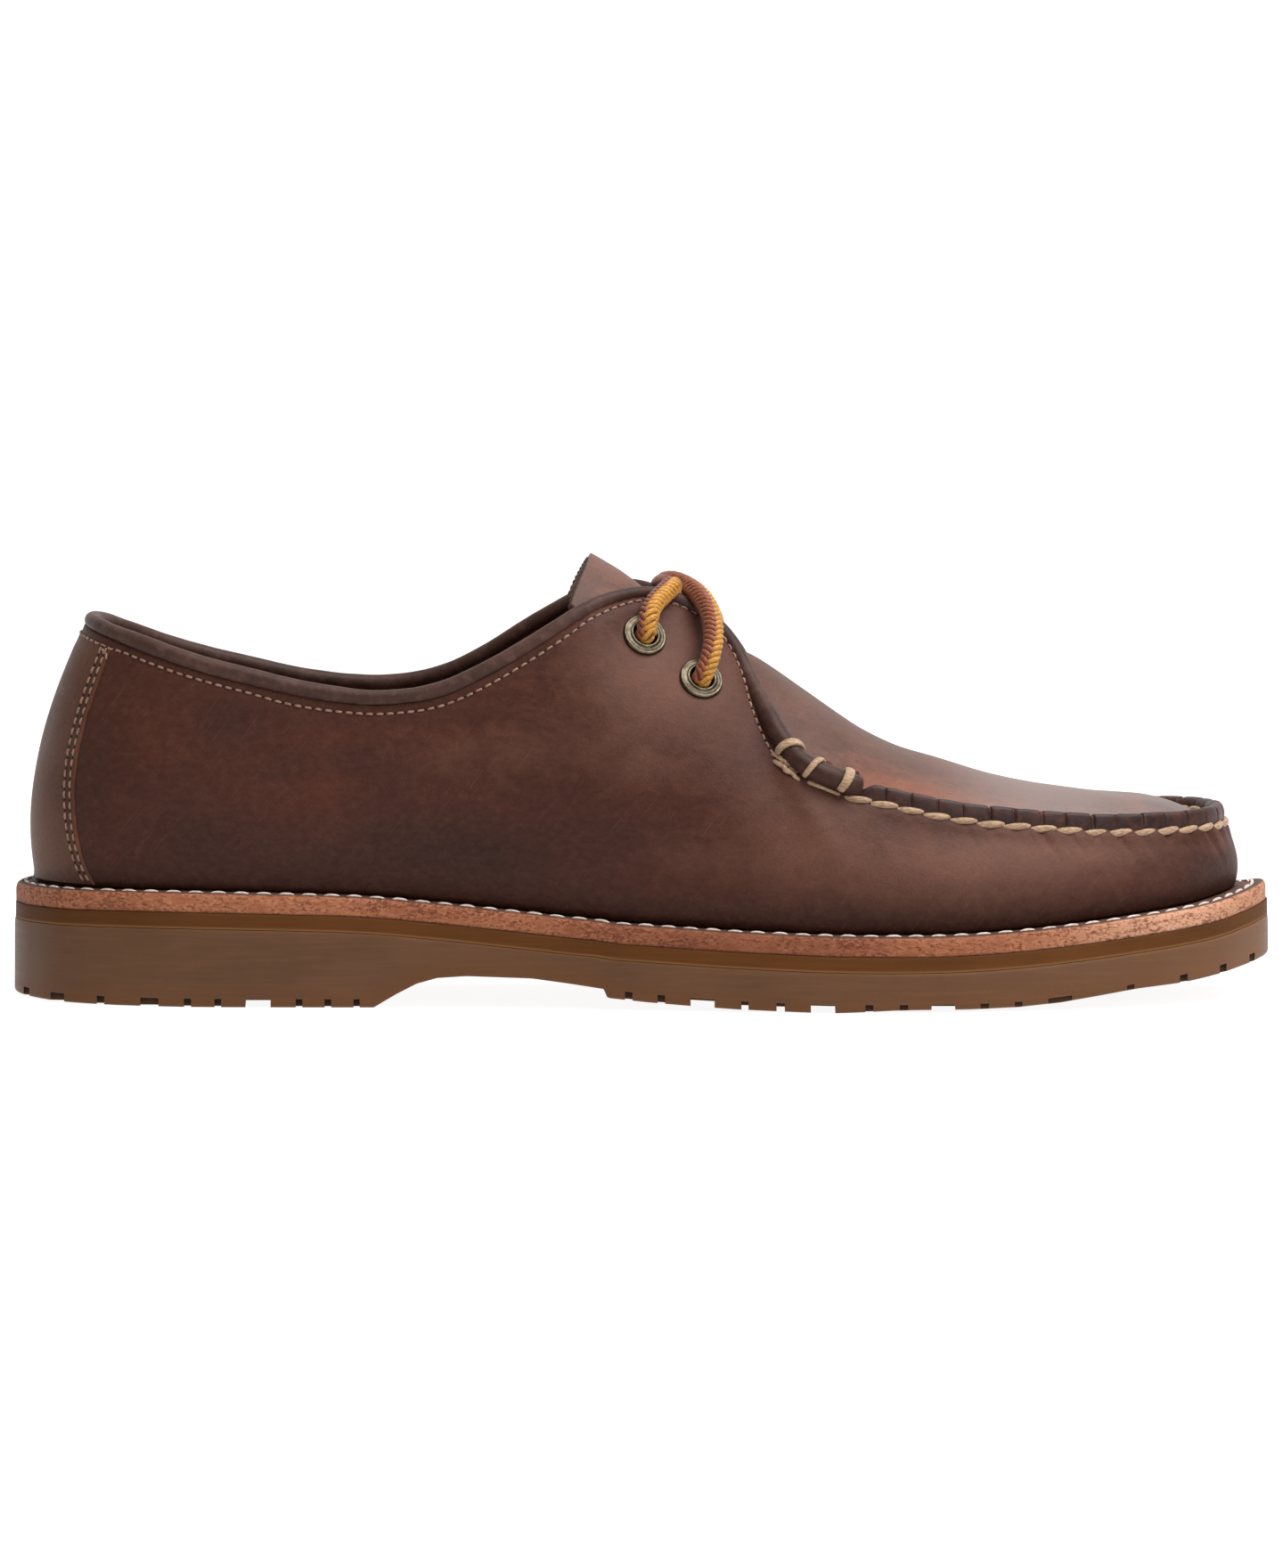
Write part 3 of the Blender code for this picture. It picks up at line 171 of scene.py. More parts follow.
# oily dark patches in the leather, lateral side: x, z, half length, half height, strength
SMUDGES = [
    (46.0, 41.0, 15.0, 7.0, 0.75), (100.0, 39.0, 24.0, 8.5, 0.85), (53.0, 69.0, 10.0, 6.0, 0.65),
    (116.0, 35.0, 14.0, 6.0, 0.70), (86.0, 57.0, 14.0, 4.0, 0.35), (130.0, 52.0, 16.0, 6.0, 0.30),
    (150.0, 42.0, 22.0, 6.0, 0.40), (36.0, 55.0, 8.0, 6.0, 0.20), (276.0, 36.0, 9.0, 4.0, 0.65), (290.0, 33.0, 9.0, 7.0, 0.85),
    (205.0, 27.0, 26.0, 5.0, 0.40), (237.0, 28.0, 22.0, 4.0, 0.35), (176.0, 60.0, 10.0, 7.0, 0.30),
    (187.0, 48.0, 9.0, 6.0, 0.35), (69.0, 34.0, 20.0, 4.0, 0.35), (160.0, 70.0, 9.0, 5.0, 0.20),
    (8.0, 60.0, 7.0, 24.0, 0.35), (140.0, 66.0, 10.0, 6.0, 0.15), (258.0, 33.0, 8.0, 4.0, 0.25),
]
# warmer, redder patches: x, z, half length, half height, strength
WARM = [
    (34.0, 66.0, 12.0, 9.0, 0.50), (78.0, 52.0, 9.0, 6.0, 0.65), (104.0, 66.0, 20.0, 5.0, 0.45),
    (72.0, 66.0, 14.0, 5.0, 0.45), (62.0, 50.0, 9.0, 5.0, 0.35), (121.0, 47.0, 9.0, 4.0, 0.30),
    (160.0, 76.0, 8.0, 4.0, 0.45), (152.0, 80.0, 6.0, 3.0, 0.35), (132.0, 76.0, 13.0, 5.0, 0.35),
    (214.0, 36.0, 14.0, 5.0, 0.25), (293.0, 38.0, 5.0, 5.0, 0.45), (22.0, 34.0, 6.0, 5.0, 0.40),
    (196.0, 40.0, 12.0, 5.0, 0.30), (262.0, 37.0, 7.0, 3.0, 0.25), (243.0, 38.0, 10.0, 4.0, 0.25),
]
# soft troughs in the vamp: x and z at the top, x and z at the bottom, width, depth
CREASES = [
    (197.0, 49.0, 204.0, 35.0, 2.6, 0.16), (204.0, 46.0, 212.0, 31.0, 3.2, 0.20),
    (212.0, 44.5, 220.0, 30.0, 3.0, 0.16), (221.0, 43.0, 226.0, 33.0, 2.6, 0.12),
    (186.0, 56.0, 190.0, 40.0, 4.0, 0.18), (172.0, 67.0, 180.0, 52.0, 5.0, 0.16),
    (120.0, 70.0, 146.0, 62.0, 5.0, 0.10), (40.0, 33.0, 96.0, 31.0, 3.0, 0.12),
]


# ----------------------------------------------------------------- mathematics
def herm(xs, ys, x):
    """Smooth curve through a table, for arrays of x."""
    xs, ys, x = np.asarray(xs, float), np.asarray(ys, float), np.asarray(x, float)
    h = np.diff(xs)
    d = np.diff(ys) / h
    m = np.empty(len(xs))
    m[0], m[-1] = d[0], d[-1]
    m[1:-1] = (d[:-1] * h[1:] + d[1:] * h[:-1]) / (h[:-1] + h[1:])
    xc = np.clip(x, xs[0], xs[-1])
    i = np.clip(np.searchsorted(xs, xc, side="right") - 1, 0, len(xs) - 2)
    t = (xc - xs[i]) / h[i]
    return ((1 + 2 * t) * (1 - t) ** 2 * ys[i] + t * (1 - t) ** 2 * m[i] * h[i]
            + t * t * (3 - 2 * t) * ys[i + 1] + t * t * (t - 1) * m[i + 1] * h[i])


def cols(table, a, b):
    return [r[a] for r in table], [r[b] for r in table]


def smooth(a, b, x):
    t = np.clip((np.asarray(x, float) - a) / (b - a), 0.0, 1.0)
    return t * t * (3 - 2 * t)


def mix(a, b, t):
    return a + (b - a) * t


def unit(v):
    return v / np.maximum(np.linalg.norm(v, axis=-1, keepdims=True), 1e-9)


def vec(x, y, z):
    x, y, z = np.broadcast_arrays(x, y, z)
    return np.stack([x, y, z], axis=-1).astype(float)


def angle_at(s):
    return np.arccos(np.clip(1.0 - 2.0 * np.asarray(s, float) / SOLE_LENGTH, -1, 1))


def station_at(psi):
    return SOLE_LENGTH * (1.0 - np.cos(psi)) / 2.0


_ring = ([(-float(angle_at(r[0])), r[1]) for r in reversed(OUTLINE)]
         + [(float(angle_at(r[0])), r[2]) for r in OUTLINE[1:]])
RA = [_ring[-2][0] - 2 * math.pi] + [a for a, y in _ring] + [_ring[1][0] + 2 * math.pi]
RY = [_ring[-2][1]] + [y for a, y in _ring] + [_ring[1][1]]


def outline(psi):
    psi = np.asarray(psi, float)
    return vec(station_at(psi), herm(RA, RY, psi), 0.0)


def outward(psi):
    psi = np.asarray(psi, float)
    e = 0.004
    t = outline(np.minimum(math.pi, psi + e)) - outline(np.maximum(-math.pi, psi - e))
    n = unit(vec(-t[..., 1], t[..., 0], 0.0))
    n = np.where((np.abs(psi) > math.pi - e)[..., None], np.array([1.0, 0, 0]), n)
    s = np.sign(((outline(psi) - np.array([150.0, 0, 0])) * n).sum(-1, keepdims=True))
    return n * np.where(s == 0, 1, s)


def inset(psi, d):
    return outline(psi) - outward(psi) * np.asarray(d, float)[..., None]


def welt_z(x):
    return herm(*cols(HEIGHTS, 0, 2), x)


def tread_z(x):
    return np.interp(x, *cols(HEIGHTS, 0, 1))


def feather_inset(psi):
    return herm(*cols(FEATHER, 0, 1), station_at(psi))


WELT_EDGE_INSET, WELT_REACH = 1.7, 8.0


def on_welt(psi, d, rise):
    psi = np.asarray(psi, float)
    inner = feather_inset(psi) + WELT_REACH
    a, b = inset(psi, np.full(psi.shape, WELT_EDGE_INSET)), inset(psi, inner)
    d = np.broadcast_to(np.asarray(d, float), psi.shape)
    t = (d - WELT_EDGE_INSET) / (inner - WELT_EDGE_INSET)
    p = inset(psi, d)
    p[..., 2] = mix(welt_z(a[..., 0]), welt_z(b[..., 0]), t) + rise
    return p


THROAT = float(angle_at(THROAT_STATION))


def medial_rise(s):
    return herm(*cols(MEDIAL_RISE, 0, 1), s)


def both_sides(table, key, value, odd=False, rise=False):
    left = [(-float(angle_at(r[key])), (-r[value] if odd else r[value])) for r in reversed(table)]
    right = [(float(angle_at(r[key])), r[value] + (float(medial_rise(r[key])) if rise else 0.0))
             for r in table[1:]]
    rows = left + right
    return [r[0] for r in rows], [r[1] for r in rows]


CX, CY, CZ = both_sides(COLLAR, 0, 1), both_sides(COLLAR, 0, 2, odd=True), both_sides(COLLAR, 0, 3, rise=True)


def seam_omega(x):
    return 1.0 - np.arcsin(np.clip((x - SEAM_X0) / (SEAM_X1 - SEAM_X0), 0, 1)) * 2 / math.pi


SO = ([(-float(seam_omega(r[0])), r[1], r[3]) for r in SEAM]
      + [(float(seam_omega(r[0])), r[2], r[3]) for r in reversed(SEAM[:-1])])


def seam_foot(omega):
    omega = np.asarray(omega, float)
    x = SEAM_X0 + (SEAM_X1 - SEAM_X0) * np.sin((1 - np.abs(omega)) * math.pi / 2)
    return vec(x, herm(*cols(SO, 0, 1), omega), herm(*cols(SO, 0, 2), omega))


def seam_inward(omega):
    omega = np.asarray(omega, float)
    a, b = seam_foot(np.maximum(-1, omega - 0.01)), seam_foot(np.minimum(1, omega + 0.01))
    t = b - a
    n = unit(vec(-t[..., 1], t[..., 0], 0.0))
    s = np.sign(((np.array([POLE_X - 30.0, 3.0, 0.0]) - seam_foot(omega)) * n).sum(-1, keepdims=True))
    return n * np.where(s == 0, 1, s)


def omega_of(psi):
    psi = np.asarray(psi, float)
    w = np.clip((np.abs(psi) - THROAT) / (math.pi - THROAT), 0, 1)
    return np.where(psi < 0, w - 1.0, 1.0 - w)


def top_edge(psi):
    psi = np.asarray(psi, float)
    rear = vec(herm(*CX, psi), herm(*CY, psi), herm(*CZ, psi))
    return np.where((np.abs(psi) <= THROAT)[..., None], rear, seam_foot(omega_of(psi)))


def wall_point(psi, t):
    """Outer face of vamp and quarters; t is 0 at the welt and 1 at the top edge."""
    psi, t = np.broadcast_arrays(np.asarray(psi, float), np.asarray(t, float))
    s = station_at(psi)
    f, e, n = on_welt(psi, feather_inset(psi), GAP + 0.1), top_edge(psi), outward(psi)
    a1, b1, a2, b2 = (herm(*cols(WALL, 0, k), s)[..., None] for k in (1, 2, 3, 4))
    up = np.array([0.0, 0, 1.0])
    p1, p2 = f + n * a1 + up * b1, e + n * a2 - up * b2
    t = t[..., None]
    u = 1 - t
    return f * u ** 3 + p1 * (3 * u * u * t) + p2 * (3 * u * t * t) + e * t ** 3


def apron_edge(omega):
    p = seam_foot(omega)
    q = p + seam_inward(omega) * RIDGE_WIDTH
    q[..., 2] = p[..., 2]
    return q


def apron_root(omega):
    x = np.minimum(POLE_X, mix(184.0, POLE_X,
                               (seam_foot(omega)[..., 0] - SEAM_X0) / (POLE_X + 6.0 - SEAM_X0)))
    return vec(x, mix(0.0, 4.5, smooth(190, 270, x)), 0.0)


def apron_point(omega, r):
    omega, r = np.broadcast_arrays(np.asarray(omega, float), np.asarray(r, float))
    c, e = apron_root(omega), apron_edge(omega)
    x, y = mix(c[..., 0], e[..., 0], r), mix(c[..., 1], e[..., 1], r)
    steep = 2.1 + 1.9 * smooth(262.0, 286.0, e[..., 0])
    return vec(x, y, mix(herm(*cols(SPINE, 0, 1), x), e[..., 2], r ** steep))


def ridge_height(omega, full=RIDGE_HEIGHT):
    return mix(0.7, full, smooth(203.0, 210.0, seam_foot(omega)[..., 0]))


def tongue_section(s, y):
    xs = list(range(len(TONGUE)))
    x, z, arch = (herm(xs, [r[k] for r in TONGUE], s) for k in (0, 1, 3))
    n = unit(vec(0.46 * smooth(1.0, 6.0, s), 0.0, 0.9 + 0 * s))
    return vec(x, y, z) - n * (arch * y * y)[..., None]


def tongue_point(s, v):
    xs = list(range(len(TONGUE)))
    s, v = np.broadcast_arrays(np.asarray(s, float), np.asarray(v, float))
    s = s - 0.18 * smooth(7.0, 9.0, s) * np.abs(v) ** 7
    y = v * herm(xs, [r[2] for r in TONGUE], s)
    p = tongue_section(s, y)
    om = np.where(y < 0, -1.0, 1.0)
    e, c = apron_edge(om), apron_root(om)
    r = np.minimum(1.0, np.abs(y - c[..., 1]) / np.abs(e[..., 1] - c[..., 1]))
    root = apron_point(om, r)
    w = (1.0 - smooth(0.0, 2.6, s))[..., None]
    return p + (root - tongue_section(0.0 * s, y)) * w


def strip_edge(z):
    return herm([r[0] for r in HEEL_STRIP], [r[1] for r in HEEL_STRIP], z)


# --------------------------------------------------------------- smooth noise
def value_noise(p, size, seed):
    """Smooth noise between -1 and 1 over points p, features about size across."""
    rs = np.random.RandomState(seed)
    table = rs.uniform(-1, 1, 4096)
    q = np.asarray(p, float) / size + 100.0
    i = np.floor(q).astype(int)
    f = q - i
    f = f * f * (3 - 2 * f)
    out = 0.0
    for dx in (0, 1):
        for dy in (0, 1):
            for dz in (0, 1):
                h = ((i[..., 0] + dx) * 73856093 ^ (i[..., 1] + dy) * 19349663 ^ (i[..., 2] + dz) * 83492791) % 4096
                w = ((f[..., 0] if dx else 1 - f[..., 0]) * (f[..., 1] if dy else 1 - f[..., 1])
                     * (f[..., 2] if dz else 1 - f[..., 2]))
                out = out + table[h] * w
    return out


# ---------------------------------------------------------------- mesh helpers
def write_mesh(name, verts, quads, mats, attrs=None, groups=None, merge=False,
               sharp=None, ride=True, tris=None):
    """Mesh object from millimetre vertices; quads is an (n, 4) array, groups the material index."""
    v = (np.asarray(verts, float) - SHIFT) / 1000.0
    quads = np.asarray(quads, int).reshape(-1, 4) if len(quads) else np.zeros((0, 4), int)
    loops = [quads.ravel()]
    starts = np.arange(len(quads)) * 4
    totals = np.full(len(quads), 4)
    extra = [] if tris is None else list(tris)
    off = len(quads) * 4
    for f in extra:
        loops.append(np.asarray(f, int))
        starts = np.append(starts, off)
        totals = np.append(totals, len(f))
        off += len(f)
    loops = np.concatenate(loops)
    me = bpy.data.meshes.new(name)
    me.vertices.add(len(v))
    me.vertices.foreach_set("co", v.astype(np.float32).ravel())
    me.loops.add(len(loops))
    me.loops.foreach_set("vertex_index", loops.astype(np.int32))
    me.polygons.add(len(starts))
    me.polygons.foreach_set("loop_start", starts.astype(np.int32))
    if groups is not None:
        me.polygons.foreach_set("material_index", np.asarray(groups, np.int32))
    me.update(calc_edges=True)
    me.validate()
    for key, val in (attrs or {}).items():
        a = me.attributes.new(key, "FLOAT", "POINT")
        a.data.foreach_set("value", np.asarray(val, np.float32).ravel())
    ob = bpy.data.objects.new(name, me)
    bpy.context.scene.collection.objects.link(ob)
    for m in (mats if isinstance(mats, (list, tuple)) else [mats]):
        me.materials.append(m)
    bm = bmesh.new()
    bm.from_mesh(me)
    if merge:
        bmesh.ops.remove_doubles(bm, verts=bm.verts, dist=2e-7)
        bmesh.ops.dissolve_degenerate(bm, edges=bm.edges, dist=2e-7)
    bmesh.ops.recalc_face_normals(bm, faces=bm.faces)
    bm.to_mesh(me)
    bm.free()
    me.shade_smooth()
    if sharp is not None:
        me.set_sharp_from_angle(angle=math.radians(sharp))
    me.update()
    if ride:
        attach(ob, "root")
    return ob


def grid_quads(n, m, wrap=False, flip=False, base=0):
    i = np.arange(n if wrap else n - 1)[:, None]
    j = np.arange(m - 1)[None, :]
    k = (i + 1) % n
    q = np.stack([i * m + j, k * m + j, k * m + j + 1, i * m + j + 1], -1).reshape(-1, 4) + base
    return q[:, ::-1] if flip else q


def shell(outer, inner, wrap=False):
    """Closed shell between two grids (n, m, 3): faces, with 0 for outer and rim, 1 for inner."""
    n, m = outer.shape[:2]
    base = n * m
    a = grid_quads(n, m, wrap)
    b = grid_quads(n, m, wrap, True, base)
    i = np.arange(n if wrap else n - 1)
    k = (i + 1) % n
    rims = [np.stack([i * m, base + i * m, base + k * m, k * m], -1),
            np.stack([k * m + m - 1, base + k * m + m - 1, base + i * m + m - 1, i * m + m - 1], -1)]
    if not wrap:
        j = np.arange(m - 1)
        rims += [np.stack([j + 1, base + j + 1, base + j, j], -1),
                 np.stack([(n - 1) * m + j, base + (n - 1) * m + j, base + (n - 1) * m + j + 1,
                           (n - 1) * m + j + 1], -1)]
    rims = np.concatenate(rims)
    quads = np.concatenate([a, rims, b])
    groups = np.concatenate([np.zeros(len(a) + len(rims), int), np.ones(len(b), int)])
    verts = np.concatenate([outer.reshape(-1, 3), inner.reshape(-1, 3)])
    return verts, quads, groups


def grid_normals(P, wrap=False):
    if wrap:
        du = np.roll(P, -1, 0) - np.roll(P, 1, 0)
    else:
        du = np.gradient(P, axis=0)
    dv = np.gradient(P, axis=1)
    return unit(np.cross(du, dv))


def tubes(name, paths, radii, up, mats, sides=8, flat=1.0, groups=None, attrs=None):
    """Many closed tubes at once: paths (c, m, 3), radii (c, m), up (c, m, 3) or one vector."""
    paths = np.asarray(paths, float)
    c, m = paths.shape[:2]
    radii = np.broadcast_to(np.asarray(radii, float), (c, m))
    up = np.broadcast_to(np.asarray(up, float), paths.shape)
    t = unit(np.gradient(paths, axis=1))
    side = unit(np.cross(t, up))
    other = np.cross(side, t)
    a = np.arange(sides) * 2 * math.pi / sides
    ring = (paths[:, :, None, :] + side[:, :, None, :] * (radii[..., None, None] * np.cos(a)[:, None])
            + other[:, :, None, :] * (radii[..., None, None] * flat * np.sin(a)[:, None]))
    verts = ring.reshape(-1, 3)
    i = np.arange(m - 1)[:, None]
    j = np.arange(sides)[None, :]
    k = (j + 1) % sides
    q = np.stack([i * sides + j, i * sides + k, (i + 1) * sides + k, (i + 1) * sides + j], -1).reshape(-1, 4)
    quads = (q[None] + (np.arange(c) * m * sides)[:, None, None]).reshape(-1, 4)
    caps = []
    for b in range(c):
        o = b * m * sides
        caps.append([o + x for x in range(sides)][::-1])
        caps.append([o + (m - 1) * sides + x for x in range(sides)])
    g = None
    if groups is not None:
        groups = np.asarray(groups)
        g = np.concatenate([np.repeat(groups, len(q)), np.repeat(groups, 2)])
    return write_mesh(name, verts, quads, mats, tris=caps, groups=g, attrs=attrs)


def lens(m, tip=0.25, power=0.6):
    """Radii of a stitch that swells in the middle."""
    t = np.linspace(-1, 1, m)
    return tip + (1 - tip) * np.maximum(0, 1 - t * t) ** power


def resample(points, spacing):
    p = np.asarray(points, float)
    s = np.concatenate([[0], np.cumsum(np.linalg.norm(np.diff(p, axis=0), axis=1))])
    n = max(2, int(round(s[-1] / spacing)))
    d = np.linspace(0, s[-1], n + 1)
    return np.stack([herm(s, p[:, k], d) for k in range(3)], -1)


def arc_length(p):
    return np.concatenate([[0], np.cumsum(np.linalg.norm(np.diff(p, axis=0), axis=1))])


def tree_of(ob):
    """Search tree over an object's faces, in last coordinates."""
    me = ob.data
    me.calc_loop_triangles()
    co = np.zeros(len(me.vertices) * 3, np.float32)
    me.vertices.foreach_get("co", co)
    co = co.reshape(-1, 3) * 1000.0 + SHIFT
    tri = np.zeros(len(me.loop_triangles) * 3, np.int32)
    me.loop_triangles.foreach_get("vertices", tri)
    return BVHTree.FromPolygons(co.tolist(), tri.reshape(-1, 3).tolist())


def snap(tree, points):
    """Nearest surface points and their normals."""
    p, n = [], []
    for q in np.asarray(points, float).reshape(-1, 3):
        at, nv, _, _ = tree.find_nearest(Vector(q))
        p.append(at)
        n.append(nv)
    shape = np.asarray(points).shape
    return np.array(p).reshape(shape), np.array(n).reshape(shape)


# ------------------------------------------------------------------- materials
class Nodes:
    """Short names for building a node tree."""

    def __init__(self, name):
        self.m = bpy.data.materials.new(name)
        self.m.use_nodes = True
        self.t = self.m.node_tree
        self.p = self.t.nodes["Principled BSDF"]
        self.coord = self.t.nodes.new("ShaderNodeTexCoord").outputs["Object"]

    def new(self, kind, **props):
        n = self.t.nodes.new(kind)
        for k, v in props.items():
            setattr(n, k, v)
        return n

    def link(self, a, b):
        if hasattr(a, "outputs"):
            a = a.outputs[0]
        self.t.links.new(a, b)

    def scaled(self, sx, sy=None, sz=None):
        """Object coordinates, in millimetres times the scale."""
        n = self.new("ShaderNodeMapping")
        sy = sx if sy is None else sy
        sz = sx if sz is None else sz
        n.inputs["Scale"].default_value = (sx * 1000, sy * 1000, sz * 1000)
        self.link(self.coord, n.inputs["Vector"])
        return n.outputs["Vector"]

    def noise(self, size, detail=3.0, rough=0.55, stretch=(1, 1, 1), distort=0.0, slant=None):
        n = self.new("ShaderNodeTexNoise")
        vector = self.scaled(1 / (size * stretch[0]), 1 / (size * stretch[1]), 1 / (size * stretch[2]))
        if slant is not None:
            turn = self.new("ShaderNodeMapping")
            turn.inputs["Rotation"].default_value = (0.0, math.radians(slant), 0.0)
            self.link(self.coord, turn.inputs["Vector"])
            scale = vector.node
            self.link(turn.outputs["Vector"], scale.inputs["Vector"])
        self.link(vector, n.inputs["Vector"])
        n.inputs["Scale"].default_value = 1.0
        n.inputs["Detail"].default_value = detail
        n.inputs["Roughness"].default_value = rough
        n.inputs["Distortion"].default_value = distort
        return n.outputs["Fac"]

    def voronoi(self, size, feature="F1", stretch=(1, 1, 1)):
        n = self.new("ShaderNodeTexVoronoi", feature=feature)
        self.link(self.scaled(1 / (size * stretch[0]), 1 / (size * stretch[1]), 1 / (size * stretch[2])),
                  n.inputs["Vector"])
        n.inputs["Scale"].default_value = 1.0
        return n.outputs["Distance"]

    def attr(self, name):
        return self.new("ShaderNodeAttribute", attribute_name=name).outputs["Fac"]

    def math(self, op, a, b=None, clamp=False):
        n = self.new("ShaderNodeMath", operation=op, use_clamp=clamp)
        for k, v in enumerate((a, b)):
            if v is None:
                continue
            if isinstance(v, (int, float)):
                n.inputs[k].default_value = v
            else:
                self.link(v, n.inputs[k])
        return n.outputs[0]

    def ramp(self, fac, stops):
        n = self.new("ShaderNodeValToRGB")
        while len(n.color_ramp.elements) < len(stops):
            n.color_ramp.elements.new(0.5)
        for e, (pos, col) in zip(n.color_ramp.elements, stops):
            e.position = pos
            e.color = (*col, 1.0) if len(col) == 3 else col
        self.link(fac, n.inputs["Fac"])
        return n.outputs["Color"]

    def span(self, fac, lo, hi, a=0.0, b=1.0):
        n = self.new("ShaderNodeMapRange", clamp=True)
        self.link(fac, n.inputs["Value"])
        for key, v in (("From Min", lo), ("From Max", hi), ("To Min", a), ("To Max", b)):
            n.inputs[key].default_value = v
        return n.outputs["Result"]

    def blend(self, fac, a, b, mode="MIX"):
        n = self.new("ShaderNodeMix", data_type="RGBA", blend_type=mode)
        n.clamp_factor = True
        for key, v in ((0, fac), (6, a), (7, b)):
            if isinstance(v, (int, float)):
                n.inputs[key].default_value = v
            elif isinstance(v, tuple):
                n.inputs[key].default_value = (*v, 1.0)
            else:
                self.link(v, n.inputs[key])
        return n.outputs[2]

    def bump(self, heights):
        """Chain of bumps: (height socket, depth in millimetres)."""
        last = None
        for h, depth in heights:
            n = self.new("ShaderNodeBump")
            n.inputs["Strength"].default_value = 1.0
            n.inputs["Distance"].default_value = depth / 1000.0
            self.link(h, n.inputs["Height"])
            if last is not None:
                self.link(last, n.inputs["Normal"])
            last = n.outputs["Normal"]
        self.link(last, self.p.inputs["Normal"])

    def set(self, **kw):
        for k, v in kw.items():
            self.p.inputs[k.replace("_", " ")].default_value = v
        return self


def srgb(r, g, b):
    """Linear colour of 8-bit display values."""
    def one(c):
        c = c / 255.0
        return c / 12.92 if c <= 0.04045 else ((c + 0.055) / 1.055) ** 2.4
    return (one(r), one(g), one(b))


def upper_leather(name, base, deep, warm, pale, grain=0.055, mottle=1.0, gloss=0.22, toe_gloss=0.0):
    """Oiled pull-up leather: cloudy, with darker oily smudges and painted shade, rubbed warm places, painted sheen and
    fine flecks.
    """
    k = Nodes(name)
    big = k.noise(38.0, 4.0, 0.55, (1.6, 1.0, 0.8), 0.8)
    mid = k.noise(8.0, 6.0, 0.64, (1.3, 1.0, 0.85), 0.9)
    small = k.noise(1.7, 4.0, 0.62, (1.3, 1.0, 0.8))
    fleck = k.noise(0.55, 3.0, 0.7)
    fine = k.noise(0.30, 2.0, 0.6)
    tone = k.math("ADD", k.math("MULTIPLY", big, 0.6), k.math("MULTIPLY", mid, 0.4))
    low = tuple(mix(np.array(base), np.array(deep), 0.45 * mottle))
    colour = k.blend(k.span(tone, 0.38, 0.62), low, base)
    dark = k.math("ADD", k.attr("dark"), k.math("MULTIPLY", k.math("SUBTRACT", mid, 0.5), 1.1))
    dark = k.math("ADD", dark, k.math("MULTIPLY", k.math("SUBTRACT", big, 0.5), 0.7))
    colour = k.blend(k.math("MULTIPLY", k.span(dark, 0.05, 1.0), 0.85), colour, deep)
    hot = k.math("ADD", k.attr("warm"), k.math("MULTIPLY", k.math("SUBTRACT", mid, 0.5), 1.2))
    hot = k.math("ADD", hot, k.math("MULTIPLY", k.math("SUBTRACT", small, 0.5), 0.6))
    colour = k.blend(k.math("MULTIPLY", k.span(hot, 0.15, 1.2), 0.70), colour, warm)
    # paler in random places, and where the pale attribute paints sheen
    pale_tone_and_sheen = k.math("ADD", k.attr("pale"), k.math("MULTIPLY", k.math("SUBTRACT", mid, 0.5), 0.8))
    colour = k.blend(k.math("MULTIPLY", k.span(pale_tone_and_sheen, 0.10, 1.2), 0.75), colour, pale)
    colour = k.blend(k.math("MULTIPLY", k.attr("low"), 0.85), colour, srgb(48, 23, 16))
    # rubbed flecks where the finish has lifted
    spots = k.math("MULTIPLY", k.span(fleck, 0.52, 0.72), k.span(mid, 0.42, 0.66))
    colour = k.blend(k.math("MULTIPLY", spots, 0.50), colour, warm)
    colour = k.blend(k.span(small, 0.38, 0.72, 0.0, 0.12), colour, pale)
    # hairline scratches in two directions
    s1 = k.noise(1.0, 2.0, 0.5, (12.0, 9.0, 0.30), 0.35, slant=52.0)
    s2 = k.noise(0.8, 2.0, 0.5, (5.0, 4.0, 0.28), 1.2, slant=-34.0)
    lines = k.math("MULTIPLY", k.span(s1, 0.64, 0.72), k.span(big, 0.42, 0.58))
    lines = k.math("MAXIMUM", lines, k.math("MULTIPLY", k.span(s2, 0.67, 0.74), k.span(mid, 0.50, 0.62)))
    colour = k.blend(k.math("MULTIPLY", lines, 0.19), colour, pale)
    colour = k.blend(k.span(fine, 0.3, 0.75, 0.0, 0.28), colour, deep)
    k.link(colour, k.p.inputs["Base Color"])
    rough = k.math("ADD", k.span(mid, 0.3, 0.7, 0.42, 0.54), k.math("MULTIPLY", k.attr("dark"), -0.05))
    k.link(rough, k.p.inputs["Roughness"])
    k.set(Specular_IOR_Level=gloss)
    if toe_gloss:
        k.link(k.span(k.attr("shine"), 0.0, 1.0, gloss, toe_gloss), k.p.inputs["Specular IOR Level"])
    pores = k.voronoi(0.55)
    cells = k.voronoi(1.1)
    k.bump([(mid, 0.03), (small, 0.04), (cells, 0.026), (pores, grain), (fine, 0.03), (lines, 0.02)])
    return k.m


def plain_leather(name, base, deep, pale, rough=(0.34, 0.5), grain=0.03, worn=0.25, gloss=0.3):
    """Smooth dyed leather with faint rub marks."""
    k = Nodes(name)
    big = k.noise(12.0, 4.0, 0.6)
    mid = k.noise(2.6, 4.0, 0.62)
    fine = k.noise(0.32, 2.0, 0.6)
    colour = k.blend(k.span(big, 0.35, 0.68), deep, base)
    colour = k.blend(k.math("MULTIPLY", k.span(mid, 0.50, 0.75), worn), colour, pale)
    colour = k.blend(k.span(fine, 0.3, 0.75, 0.0, 0.18), colour, deep)
    k.link(colour, k.p.inputs["Base Color"])
    k.link(k.span(mid, 0.3, 0.7, rough[0], rough[1]), k.p.inputs["Roughness"])
    k.set(Specular_IOR_Level=gloss)
    k.bump([(mid, 0.05), (k.voronoi(0.6), grain), (fine, 0.02)])
    return k.m


